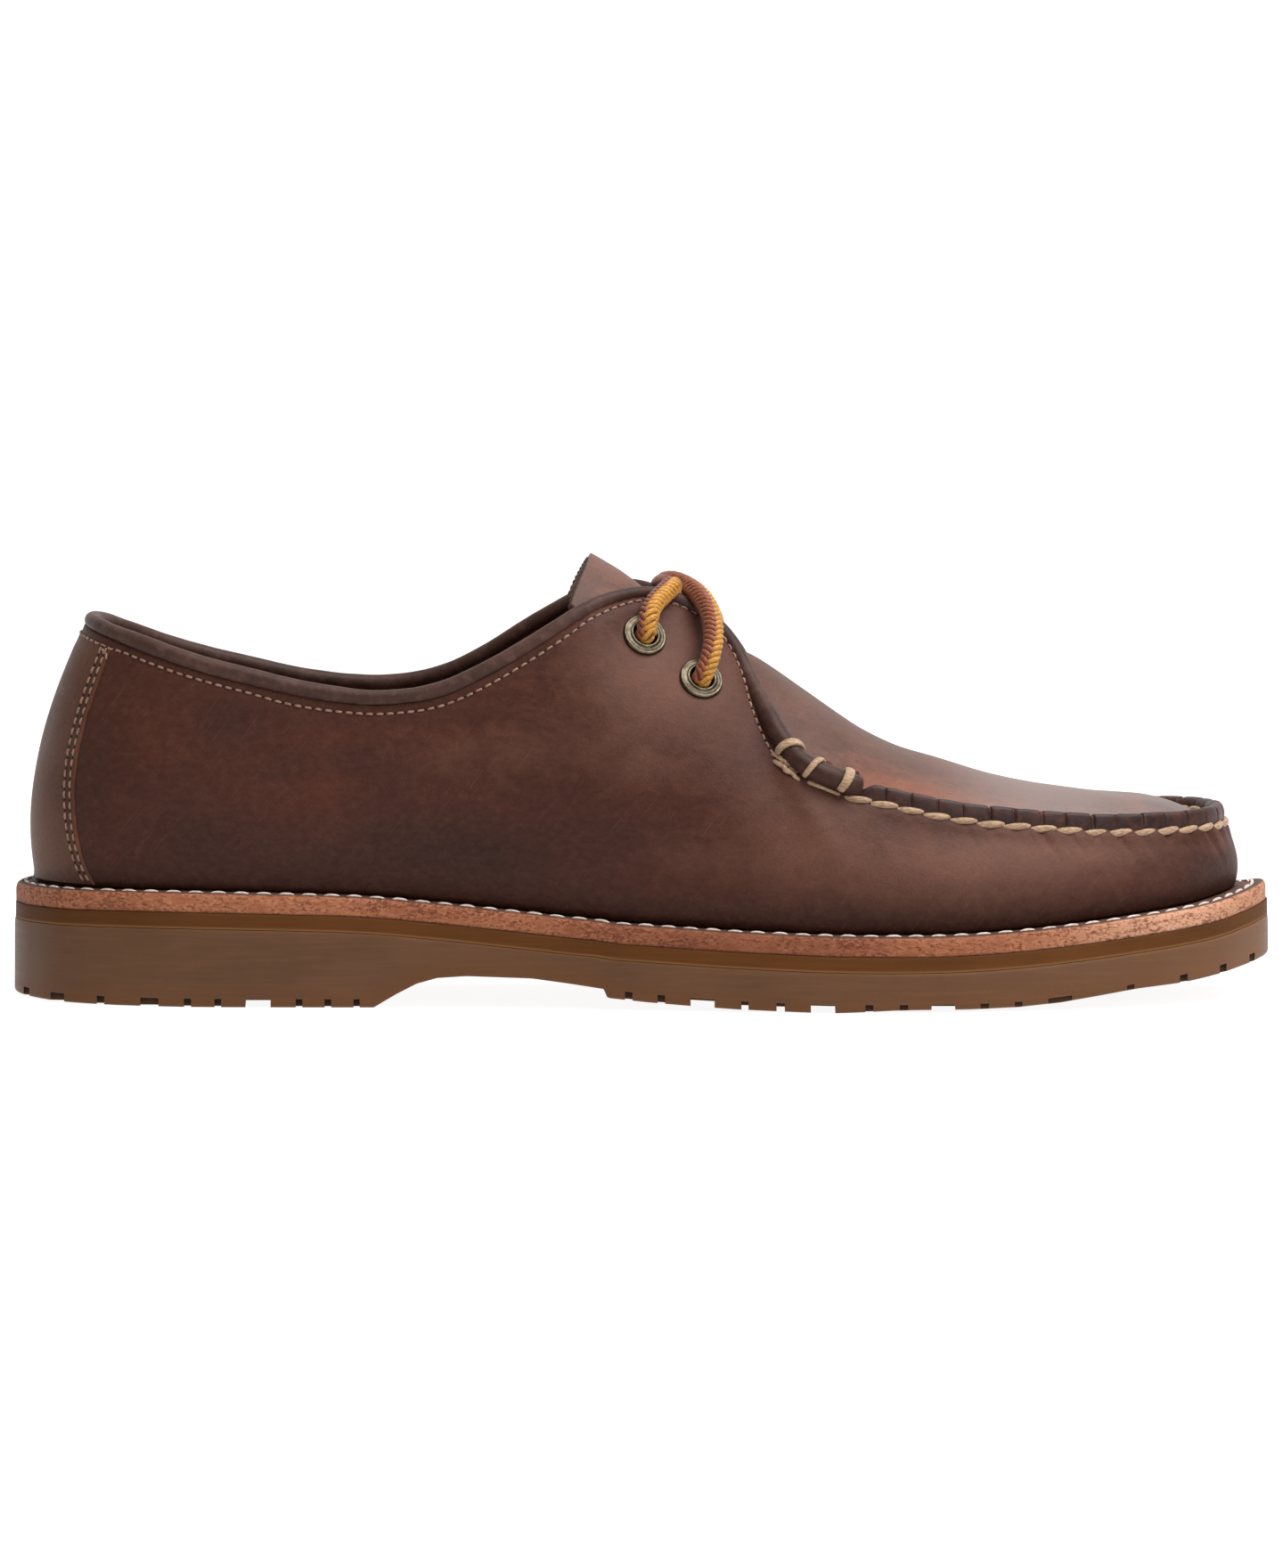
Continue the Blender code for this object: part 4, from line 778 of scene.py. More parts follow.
def thread_material(name, base, deep, rough=0.6, ply=0.35, depth=0.06):
    k = Nodes(name)
    a = k.noise(ply, 3.0, 0.6, (3.0, 3.0, 0.8), 0.3)
    b = k.noise(2.4, 3.0, 0.6)
    colour = k.blend(k.span(a, 0.36, 0.66), deep, base)
    colour = k.blend(k.span(b, 0.35, 0.8, 0.0, 0.35), colour, deep)
    k.link(colour, k.p.inputs["Base Color"])
    k.set(Roughness=rough, Specular_IOR_Level=0.35, Sheen_Weight=0.15, Sheen_Roughness=0.5)
    k.bump([(a, depth), (k.noise(0.18, 2.0, 0.6), 0.03)])
    return k.m


def welt_material(name):
    """Cut leather edge: tan, fibrous, speckled with darker fibre ends."""
    k = Nodes(name)
    fib = k.noise(0.75, 5.0, 0.72, (1.5, 1.5, 0.7), 0.4)
    big = k.noise(16.0, 3.0, 0.6, (1.8, 1.8, 0.6))
    mid = k.noise(2.8, 4.0, 0.65, (1.8, 1.8, 0.6))
    tan, red, light = srgb(140, 84, 58), srgb(84, 36, 22), srgb(176, 116, 82)
    colour = k.blend(k.span(mid, 0.38, 0.66), tan, light)
    colour = k.blend(k.math("MULTIPLY", k.attr("shade"), 0.45), colour, red)
    colour = k.blend(k.math("MULTIPLY", k.attr("toe"), 0.75), colour, srgb(204, 156, 126))
    mask = k.math("ADD", fib, k.math("MULTIPLY", k.math("SUBTRACT", mid, 0.5), 0.55))
    mask = k.math("ADD", mask, k.math("MULTIPLY", k.math("SUBTRACT", big, 0.5), 0.35))
    colour = k.blend(k.math("MULTIPLY", k.span(mask, 0.47, 0.62), 0.80), colour, red)
    edge = k.attr("top")
    colour = k.blend(k.math("MULTIPLY", edge, 0.92), colour, srgb(70, 50, 44))
    colour = k.blend(k.math("MULTIPLY", k.attr("low"), 0.55), colour, srgb(60, 30, 18))
    k.link(colour, k.p.inputs["Base Color"])
    k.link(k.span(fib, 0.3, 0.7, 0.55, 0.75), k.p.inputs["Roughness"])
    k.set(Specular_IOR_Level=0.15)
    k.bump([(fib, 0.22), (k.noise(0.25, 2.0, 0.6), 0.05), (mid, 0.12)])
    return k.m


def rubber_material(name, base, deep, pale, rough=(0.36, 0.5), sss=0.0, streak=1.0, gloss=0.2):
    k = Nodes(name)
    big = k.noise(22.0, 3.0, 0.55, (1.6, 1.6, 0.8))
    flow = k.noise(2.4, 4.0, 0.6, (8.0, 8.0, 0.35), 0.3)
    fine = k.noise(0.5, 3.0, 0.6)
    colour = k.blend(k.span(big, 0.35, 0.68), deep, base)
    colour = k.blend(k.math("MULTIPLY", k.span(flow, 0.45, 0.7), 0.30 * streak), colour, pale)
    colour = k.blend(k.math("MULTIPLY", k.attr("warm"), 0.75), colour, srgb(104, 64, 34))
    colour = k.blend(k.math("MULTIPLY", k.attr("rim"), 0.60), colour, pale)
    colour = k.blend(k.math("MULTIPLY", k.attr("dark"), 0.8), colour, srgb(36, 20, 12))
    k.link(colour, k.p.inputs["Base Color"])
    k.link(k.span(flow, 0.3, 0.7, rough[0], rough[1]), k.p.inputs["Roughness"])
    k.set(Specular_IOR_Level=gloss)
    if sss:
        k.set(Subsurface_Weight=sss, Subsurface_Scale=0.004)
        k.p.inputs["Subsurface Radius"].default_value = (1.0, 0.45, 0.2)
    k.bump([(flow, 0.05 * streak), (fine, 0.03)])
    return k.m


def brass_material(name):
    k = Nodes(name)
    a = k.noise(1.6, 4.0, 0.65)
    b = k.noise(0.5, 3.0, 0.6)
    colour = k.blend(k.span(a, 0.35, 0.65), srgb(68, 61, 50), srgb(118, 108, 90))
    colour = k.blend(k.math("MULTIPLY", k.attr("dark"), 0.9), colour, srgb(44, 36, 26))
    k.link(colour, k.p.inputs["Base Color"])
    k.link(k.span(b, 0.3, 0.7, 0.26, 0.44), k.p.inputs["Roughness"])
    k.set(Metallic=0.95)
    k.bump([(a, 0.04), (b, 0.015)])
    return k.m


def floor_material():
    k = Nodes("studio_floor")
    n = k.noise(900.0, 2.0, 0.5)
    k.link(k.blend(k.span(n, 0.3, 0.7), (0.24, 0.24, 0.24), (0.26, 0.26, 0.26)), k.p.inputs["Base Color"])
    k.set(Roughness=0.9, Specular_IOR_Level=0.05, Emission_Strength=0.92)
    k.p.inputs["Emission Color"].default_value = (1, 1, 1, 1)
    return k.m


LEATHER = upper_leather("oiled_leather", srgb(68, 38, 29), srgb(46, 29, 26), srgb(86, 44, 30), srgb(118, 82, 68), 0.055, 1.0, 0.08)
LINING = plain_leather("lining_leather", srgb(190, 158, 138), srgb(160, 128, 111), srgb(208, 176, 155), (0.42, 0.6), 0.03, 0.25, 0.15)
BINDING = plain_leather("binding_leather", srgb(73, 48, 40), srgb(52, 35, 30), srgb(110, 82, 72), (0.42, 0.56), 0.03, 0.36, 0.14)
ROLLED = plain_leather("rolled_leather", srgb(66, 39, 31), srgb(46, 29, 25), srgb(112, 68, 55), (0.38, 0.50), 0.02, 0.22, 0.13)
RIDGE_MAT = plain_leather("ridge_leather", srgb(60, 36, 31), srgb(38, 24, 21), srgb(104, 56, 38), (0.36, 0.50), 0.03, 0.50, 0.18)
EDGE_MAT = plain_leather("raw_edge", srgb(104, 58, 38), srgb(64, 36, 26), srgb(130, 82, 56), (0.6, 0.75), 0.04, 0.4, 0.15)
# painted shade for the needle holes, as small dark marks where the thread goes in
HOLE_SHADE = plain_leather("needle_hole_shade", srgb(24, 14, 12), srgb(16, 10, 8), srgb(32, 20, 16), (0.7, 0.8), 0.01, 0.1)
SOCK = plain_leather("sock_leather", srgb(104, 72, 52), srgb(84, 56, 40), srgb(128, 96, 74), (0.5, 0.65), 0.03, 0.2)
THREAD = thread_material("waxed_thread", srgb(176, 146, 114), srgb(124, 94, 70), 0.5, 0.45, 0.09)
FINE_THREAD = thread_material("fine_thread", srgb(156, 118, 96), srgb(108, 78, 62), 0.6, 0.25, 0.03)
WHITE_THREAD = thread_material("welt_thread", srgb(226, 214, 204), srgb(170, 150, 136), 0.6, 0.3, 0.04)
BROWN_YARN = thread_material("brown_yarn", srgb(152, 76, 34), srgb(86, 40, 18), 0.42, 0.22, 0.05)
GOLD_YARN = thread_material("gold_yarn", srgb(212, 150, 40), srgb(132, 84, 18), 0.42, 0.22, 0.05)
LACE_CORE = thread_material("lace_core", srgb(112, 58, 22), srgb(70, 34, 14), 0.8, 0.3, 0.04)
WELT_MAT = welt_material("welt_edge")
MIDSOLE_MAT = rubber_material("midsole_layer", srgb(90, 53, 24), srgb(76, 45, 20), srgb(132, 94, 58), (0.5, 0.62), 0.0, 0.2, 0.06)
GUM = rubber_material("gum_rubber", srgb(96, 66, 45), srgb(85, 58, 40), srgb(122, 86, 60), (0.40, 0.52), 0.10, 0.5, 0.13)
BRASS = brass_material("antique_brass")


# -------------------------------------------------------------- seam bookkeeping
OM = np.linspace(-1, 1, 2401)
SEAM_LINE = seam_foot(OM)
SEAM_ARC = arc_length(SEAM_LINE)


def omega_at(arc):
    return np.interp(arc, SEAM_ARC, OM)


FIRST_ARC = float(np.interp(seam_omega(204.7) * -1, OM, SEAM_ARC))
LAST_ARC = float(np.interp(seam_omega(204.7), OM, SEAM_ARC))
N_STITCH = int(round((LAST_ARC - FIRST_ARC) / STITCH_PITCH)) + 1
STITCH_ARCS = np.linspace(FIRST_ARC, LAST_ARC, N_STITCH)
PITCH = STITCH_ARCS[1] - STITCH_ARCS[0]


# ------------------------------------------------------------------ upper shell
def blobs(table, x, z, scale=1.0):
    out = 0.0
    for bx, bz, rx, rz, w in table:
        out = out + w * np.exp(-((x - bx) / rx) ** 2 - ((z - bz) / rz) ** 2)
    return out * scale


def even_angles(a0, a1, count):
    a = np.linspace(a0, a1, 1601)
    s = 0.5 * arc_length(on_welt(a, feather_inset(a), 0.4)) + 0.5 * arc_length(top_edge(a))
    return np.interp(np.linspace(0, s[-1], count + 1), s, a)


REAR = even_angles(0.0, THROAT, 190)
FRONT = even_angles(THROAT, math.pi, 230)
PSI = np.concatenate([-FRONT[::-1], -REAR[::-1][1:], REAR[1:], FRONT[1:-1]])


def base_wall():
    """The wall as a grid, with the crease below the throat corners softened."""
    t = np.linspace(0, 1, 45)
    t = 0.5 * t + 0.5 * (1 - (1 - t) ** 1.6)        # closer rows near the top
    P = wall_point(PSI[:, None], t[None, :])
    # soften along the length, less and less towards the fixed top edge
    near = np.exp(-((np.abs(PSI) - THROAT) / 0.16) ** 2)[:, None, None]
    weight = near * (1 - t[None, :, None]) ** 0.8 * smooth(0, 0.08, t)[None, :, None]
    for _ in range(160):
        Q = (np.roll(P, 1, 0) + np.roll(P, -1, 0)) / 2
        P = P + (Q - P) * weight * 0.9
    return P, t


WALL_GRID, WALL_T = base_wall()
WALL_N = grid_normals(WALL_GRID, True)
if WALL_N[np.argmin(np.abs(PSI)), 20, 0] > 0:
    WALL_N = -WALL_N

# distance down from the top edge, along each column
SEG = np.linalg.norm(np.diff(WALL_GRID, axis=1), axis=2)
DOWN = np.concatenate([np.cumsum(SEG[:, ::-1], axis=1)[:, ::-1], np.zeros((len(PSI), 1))], axis=1)


def rim_frame():
    """Along the collar: edge point, outward normal, direction down the wall."""
    rear = np.abs(PSI) <= THROAT + 1e-9
    P = WALL_GRID[:, -1]
    tang = unit(np.roll(P, -1, 0) - np.roll(P, 1, 0))
    # the corner columns look only backwards
    idx = np.where(rear)[0]
    P, N, T = P[idx], WALL_N[idx, -1], tang[idx]
    T[0], T[-1] = unit(P[1] - P[0]), unit(P[-1] - P[-2])
    N[0], N[-1] = N[2], N[-3]
    N = unit(N - T * (N * T).sum(-1, keepdims=True))
    D = unit(np.cross(N, T))
    below = WALL_GRID[idx, -3] - P
    flip = np.sign((D * below).sum(-1, keepdims=True))
    mid = len(idx) // 2
    flip = np.where(flip == 0, 1, flip)
    D = D * (flip if np.all(flip == flip[0]) else flip)
    return P, N, D, T, PSI[idx]


RIM_P, RIM_N, RIM_D, RIM_T, RIM_PSI = rim_frame()


def edge_distance(points):
    """Rough distance of points from the collar's edge line, for the rear part."""
    out = np.full(points.shape[:-1], 99.0)
    line = RIM_P[::2]
    flat = points.reshape(-1, 3)
    best = np.full(len(flat), 99.0)
    for chunk in range(0, len(line), 24):
        d = np.linalg.norm(flat[:, None, :] - line[None, chunk:chunk + 24, :], axis=2).min(1)
        best = np.minimum(best, d)
    return best.reshape(out.shape)


def eyelet_frame(x, z, side):
    """Point and outward normal of the wall at this x and z."""
    lo, hi, t0, t1 = float(angle_at(140.0)), float(angle_at(202.0)), 0.4, 0.99
    for _ in range(7):
        a, b = np.linspace(lo, hi, 15), np.linspace(t0, t1, 15)
        A, B = np.meshgrid(side * a, b, indexing="ij")
        P = wall_point(A, B)
        e = (P[..., 0] - x) ** 2 + (P[..., 2] - z) ** 2
        i, j = np.unravel_index(np.argmin(e), e.shape)
        da, dt = (hi - lo) / 10, (t1 - t0) / 10
        lo, hi = abs(A[i, j]) - da, abs(A[i, j]) + da
        t0, t1 = max(0.3, B[i, j] - dt), min(0.995, B[i, j] + dt)
        psi, t = A[i, j], B[i, j]
    du = wall_point(psi + 0.01, t) - wall_point(psi - 0.01, t)
    dv = wall_point(psi, t + 0.01) - wall_point(psi, t - 0.01)
    n = unit(np.cross(du, dv))
    if n[2] < 0:
        n = -n
    return wall_point(psi, t), n


EYE = {}
for _side, _label in ((-1, "lateral"), (1, "medial")):
    for _name, _x, _z in EYELETS:
        _rise = -2.0 if _side > 0 else 0.0
        EYE[(_label, _name)] = eyelet_frame(_x, _z + _rise, _side)


def line_trough(P, x0, z0, x1, z1, width, depth):
    """Shallow trough along a line in the side view."""
    a, b = np.array([x0, z0]), np.array([x1, z1])
    q = P[..., [0, 2]]
    d = b - a
    t = ((q - a) @ d) / (d @ d)
    near = a + np.clip(t, 0, 1)[..., None] * d
    dist = np.linalg.norm(q - near, axis=-1)
    fade = smooth(-0.25, 0.3, t) * (1 - smooth(0.7, 1.25, t))
    return -depth * np.exp(-(dist / width) ** 2) * fade


def build_upper():
    P, N = WALL_GRID.copy(), WALL_N
    psi = PSI[:, None]
    lateral = (psi < 0)
    front = np.abs(psi) > THROAT
    disp = np.zeros(P.shape[:2])
    # gathers under the moccasin seam, one to each stitch
    arc = np.interp(omega_of(PSI), OM, SEAM_ARC)
    strength = smooth(222.0, 262.0, WALL_GRID[:, -1, 0]) * (np.abs(PSI) > THROAT)
    weak = 0.25 * smooth(206.0, 222.0, WALL_GRID[:, -1, 0]) * (np.abs(PSI) > THROAT)
    amp = np.maximum(strength, weak)
    phase = (arc - STITCH_ARCS[0]) / PITCH
    k = np.round(phase).astype(int)
    wander = 0.22 * np.sin(k * 2.3 + 0.7) + 0.12 * np.sin(k * 5.1)
    size = 0.75 + 0.35 * np.sin(k * 3.7 + 1.1)
    reach = 5.0 + 2.2 * np.sin(k * 1.9 + 0.3)
    off = (phase - k) * PITCH
    lean = DOWN * (0.10 * np.sin(k * 1.3))[:, None]
    pleat = -np.exp(-((off[:, None] - 0.6 * wander[:, None] + lean) / 1.0) ** 2) * 0.42
    swell = 0.16 * np.exp(-((np.abs(off)[:, None] - 2.4) / 1.2) ** 2)
    fade = np.exp(-((DOWN - 0.8) / reach[:, None]) ** 2 * np.where(DOWN > 0.8, 1.0, 0.2))
    disp += 1.9 * (amp * size)[:, None] * (pleat + swell) * fade
    # the vamp rises to the stitches as a soft lip
    disp += 0.35 * front * smooth(206, 214, P[..., 0]) * np.exp(-((DOWN - 2.6) / 1.9) ** 2)
    disp -= 0.25 * front * smooth(200, 210, P[..., 0]) * np.exp(-(DOWN / 0.9) ** 2)
    # the stitch line pulls the leather in under the rolled edge
    rear_cols = np.abs(PSI) <= THROAT + 0.03
    ed = np.full(P.shape[:2], 99.0)
    ed[rear_cols, -26:] = edge_distance(P[rear_cols, -26:])
    disp -= 0.20 * np.exp(-((ed - 1.3) / 0.75) ** 2)
    disp += 0.14 * np.exp(-((ed - 3.6) / 1.8) ** 2)
    # leather drawn in round the eyelets
    for (label, _), (p, n) in EYE.items():
        d = np.linalg.norm(P - p, axis=-1)
        disp -= 0.42 * np.exp(-(d / 6.2) ** 2)
        disp += 0.12 * np.exp(-((d - 9.0) / 3.0) ** 2)
    for c in CREASES:
        disp += line_trough(P, *c)
    # gentle unevenness of a lasted shoe
    disp += 0.16 * value_noise(P, 24.0, 3) + 0.07 * value_noise(P, 9.0, 4) * smooth(0.0, 0.2, WALL_T)[None, :]
    disp += 0.10 * value_noise(P * np.array([1.0, 1.0, 0.25]), 5.0, 5) * np.exp(-(P[..., 2] - 24) ** 2 / 60.0)
    # hold the very edges
    disp *= smooth(0, 0.03, WALL_T)[None, :]
    # the heel strip is let in
    skived = 1 - smooth(-1.0, 0.4, P[..., 0] - strip_edge(P[..., 2]))
    disp -= 0.55 * skived * smooth(0.0, 0.04, WALL_T)[None, :] * (1 - smooth(0.93, 0.99, WALL_T))[None, :]
    P = P + N * disp[..., None]
    N2 = grid_normals(P, True)
    if (N2 * N).sum() < 0:
        N2 = -N2
    inner = WALL_GRID - N * WALL_THICK
    inner[:, 0, 2] = P[:, 0, 2]
    # the top edge is tucked up into the binding
    idx = np.where(np.abs(PSI) <= THROAT + 1e-9)[0]
    rx, count = RIM_P[:, 0], np.arange(len(idx))
    tuck = 0.45 + 0.65 * (RIM_PSI < 0) * smooth(18.0, 32.0, rx) * (1 - smooth(66.0, 90.0, rx))
    tuck = tuck * (1 - smooth(138.0, 156.0, rx)) * np.clip(np.minimum(count, count[::-1]) / 8.0, 0, 1)
    P[idx, -1] -= RIM_D * tuck[:, None]
    inner[idx, -1] -= RIM_D * tuck[:, None]
    verts, quads, groups = shell(P, inner, True)
    x, z, y = verts[:, 0], verts[:, 2], verts[:, 1]
    side = np.where(y > 0, 1.0, 0.0)
    # the medial side has the same kind of marks in other places
    dark = np.where(y <= 0, blobs(SMUDGES, x, z), blobs(SMUDGES, 300 - x - 14, z + 2, 0.8))
    warm = np.where(y <= 0, blobs(WARM, x, z), blobs(WARM, 306 - x + 9, z, 0.8))
    low = np.exp(-((z - welt_z(x)) / 5.5) ** 2)
    dark = dark + 0.25 * low
    # painted shade in the gathers under the ridge
    dd = np.concatenate([DOWN.ravel(), np.full(DOWN.size, 99.0)])
    dark = dark + 0.30 * np.exp(-(dd / 1.6) ** 2) * smooth(206, 214, x)
    # painted sheen and highlights on the vamp, the tab and the back of the heel
    pale = (0.66 * np.exp(-((x - 246) / 42) ** 2 - ((z - 38) / 6) ** 2)
            + 0.80 * np.exp(-((x - 158) / 24) ** 2 - ((z - 80) / 15) ** 2)
            + 0.60 * np.exp(-((x - 192) / 18) ** 2 - ((z - 46) / 14) ** 2)
            + 0.40 * np.exp(-((x - 222) / 46) ** 2 - ((z - 31) / 9) ** 2)
            + 0.30 * np.exp(-((x - 120) / 30) ** 2 - ((z - 62) / 8) ** 2)
            + 0.22 * np.exp(-((x - 156) / 14) ** 2 - ((z - 57) / 8) ** 2)
            + 0.22 * np.exp(-((x - 163) / 16) ** 2 - ((z - 37) / 6) ** 2)
            + 0.40 * np.exp(-((x - 5) / 7) ** 2 - ((z - 40) / 14) ** 2))
    ob = write_mesh("upper_shell", verts, quads, [LEATHER, LINING], groups=groups,
                    attrs={"dark": np.clip(dark, 0, 1.4), "warm": np.clip(warm, 0, 1.2), "pale": pale,
                           "low": low, "shine": np.zeros(len(x))})
    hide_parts("upper")
    return ob, P, N2


UPPER, UPPER_P, UPPER_N = build_upper()
UPPER_TREE = tree_of(UPPER)


# ------------------------------------------------------------- apron and tongue
def build_plug():
    """One piece of leather from the toe over the instep to the tongue's free end."""
    s = np.linspace(9.0, 0.0, 96)[:-1]
    u = np.linspace(0, 1, 42)
    halves = []
    w = np.linspace(0, 1, 1201)
    line = arc_length(seam_foot(-(1 - w)))
    om = 1 - np.interp(np.linspace(0, line[-1], 150), line, w)       # 1 at the throat, 0 at the toe
    for side in (-1.0, 1.0):
        tongue = tongue_point(s[:, None], side * u[None, :])
        apron = apron_point(side * om[:, None], u[None, :])
        H = np.concatenate([tongue, apron])
        # one smooth surface where the tongue leaves the apron
        x = H[..., 0]
        mask = (smooth(170.0, 178.0, x) * (1 - smooth(196.0, 206.0, x)))[..., None]
        mask = mask * (1 - smooth(0.88, 1.0, u))[None, :, None]
        for _ in range(240):
            Q = H.copy()
            Q[1:-1] = (H[2:] + H[:-2]) / 2
            R = H.copy()
            R[:, 1:-1] = (H[:, 2:] + H[:, :-2]) / 2
            H = H + (Q - H) * mask * 0.5 + (R - H) * mask * 0.15 * np.array([0, 0, 1.0])
        halves.append(H)
    n, m = halves[0].shape[:2]
    # lateral half reversed so that the columns run from edge to edge
    P = np.concatenate([halves[0][:, ::-1], halves[1][:, 1:]], axis=1)
    N = grid_normals(P)
    flip = np.where(N[..., 2:3] < 0, -1.0, 1.0)
    N = N * flip
    N[-3:] = np.array([0.15, 0, 1.0]) / math.hypot(0.15, 1)
    x, y = P[..., 0], P[..., 1]
    across = np.abs(np.linspace(-1, 1, 2 * m - 1))[None, :]
    disp = 0.14 * value_noise(P, 20.0, 8) + 0.05 * value_noise(P, 7.0, 9)
    # the seam pulls the plug's edge down a little
    disp += -0.30 * np.exp(-((1 - across) / 0.03) ** 2) * smooth(205, 215, x)
    P = P + N * disp[..., None]
    thick = mix(2.0, 1.6, smooth(190, 205, x))
    inner = P - N * thick[..., None]
    verts, quads, groups = shell(P, inner)
    # the last row is shared by the two sides, so it has no rim of its own
    rows, wide = P.shape[:2]
    first = (rows - 1) * (wide - 1) + 2 * (rows - 1) + (wide - 1)
    keep = np.ones(len(quads), bool)
    keep[first:first + wide - 1] = False
    quads, groups = quads[keep], groups[keep]
    x, y, z = verts[:, 0], verts[:, 1], verts[:, 2]
    acr = np.tile(np.broadcast_to(across, P.shape[:2]).ravel(), 2)
    warm = 1.14 * np.exp(-((1 - acr) / 0.35) ** 2) * smooth(190, 214, x) * (1 - smooth(229, 266, x))
    warm = warm + 0.62 * np.exp(-((x - 150) / 12) ** 2) * (0.35 + 0.65 * acr) + 0.22 * np.exp(-((x - 272) / 8) ** 2)
    dark = 0.20 * np.exp(-((x - 262) / 22) ** 2 - ((y + 8) / 9) ** 2) + 0.30 * np.exp(-((1 - acr) / 0.05) ** 2)
    # painted sheen on the apron towards the toe, on the tongue and over the instep
    pale = (0.95 * np.exp(-((x - 245) / 33) ** 2) + 0.58 * np.exp(-((x - 144) / 12) ** 2)
            + 0.25 * np.exp(-((x - 190) / 14) ** 2))
    shine = smooth(222.0, 256.0, x)
    ob = write_mesh("plug_and_tongue", verts, quads, [PLUG_LEATHER, LINING],
                    groups=groups, merge=True,
                    attrs={"dark": dark, "warm": np.clip(warm, 0, 1.2), "pale": pale, "shine": shine,
                           "low": np.zeros(len(x))})
    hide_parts("tongue")
    return ob, P


PLUG_LEATHER = upper_leather("plug_leather", srgb(78, 49, 38), srgb(56, 37, 32), srgb(150, 76, 42),
                             srgb(122, 98, 90), 0.05, 0.8, 0.14, 0.95)
PLUG, PLUG_P = build_plug()
PLUG_TREE = tree_of(PLUG)


def tongue_edge():
    """Dark pinked edge of the tongue's lining, standing a little proud of the leather."""
    v = np.linspace(-1, 1, 261)
    top = tongue_point(np.full(v.shape, 9.0), v)
    e = arc_length(top)
    tang = unit(np.gradient(top, axis=0))
    back = unit(tongue_point(np.full(v.shape, 9.0), v) - tongue_point(np.full(v.shape, 8.6), v))
    nrm = unit(np.cross(tang, back))
    nrm = nrm * np.where(nrm[:, 2:3] < 0, -1, 1)
    tooth = np.abs(((e / 2.2) % 1.0) - 0.5) * 2.0
    out = 0.10 + 0.34 * tooth
    a = top - back * 1.5 - nrm * 1.2
    b = top + back * out[:, None] - nrm * 1.25
    c = top + back * (out - 0.1)[:, None] - nrm * 1.75
    d = top - back * 1.5 - nrm * 1.8
    ring = np.stack([a, b, c, d], axis=1)
    n = len(v)
    quads = []
    for k in range(4):
        m = (k + 1) % 4
        i = np.arange(n - 1)
        quads.append(np.stack([i * 4 + k, (i + 1) * 4 + k, (i + 1) * 4 + m, i * 4 + m], -1))
    quads = np.concatenate(quads)
    ends = [[0, 1, 2, 3], [(n - 1) * 4 + k for k in (3, 2, 1, 0)]]
    return write_mesh("tongue_lining_edge", ring.reshape(-1, 3), quads, DARK_LINING,
                      tris=ends, sharp=35.0)


DARK_LINING = plain_leather("tongue_lining", srgb(34, 22, 20), srgb(22, 15, 14), srgb(52, 38, 34), (0.6, 0.75), 0.03, 0.2)
tongue_edge()


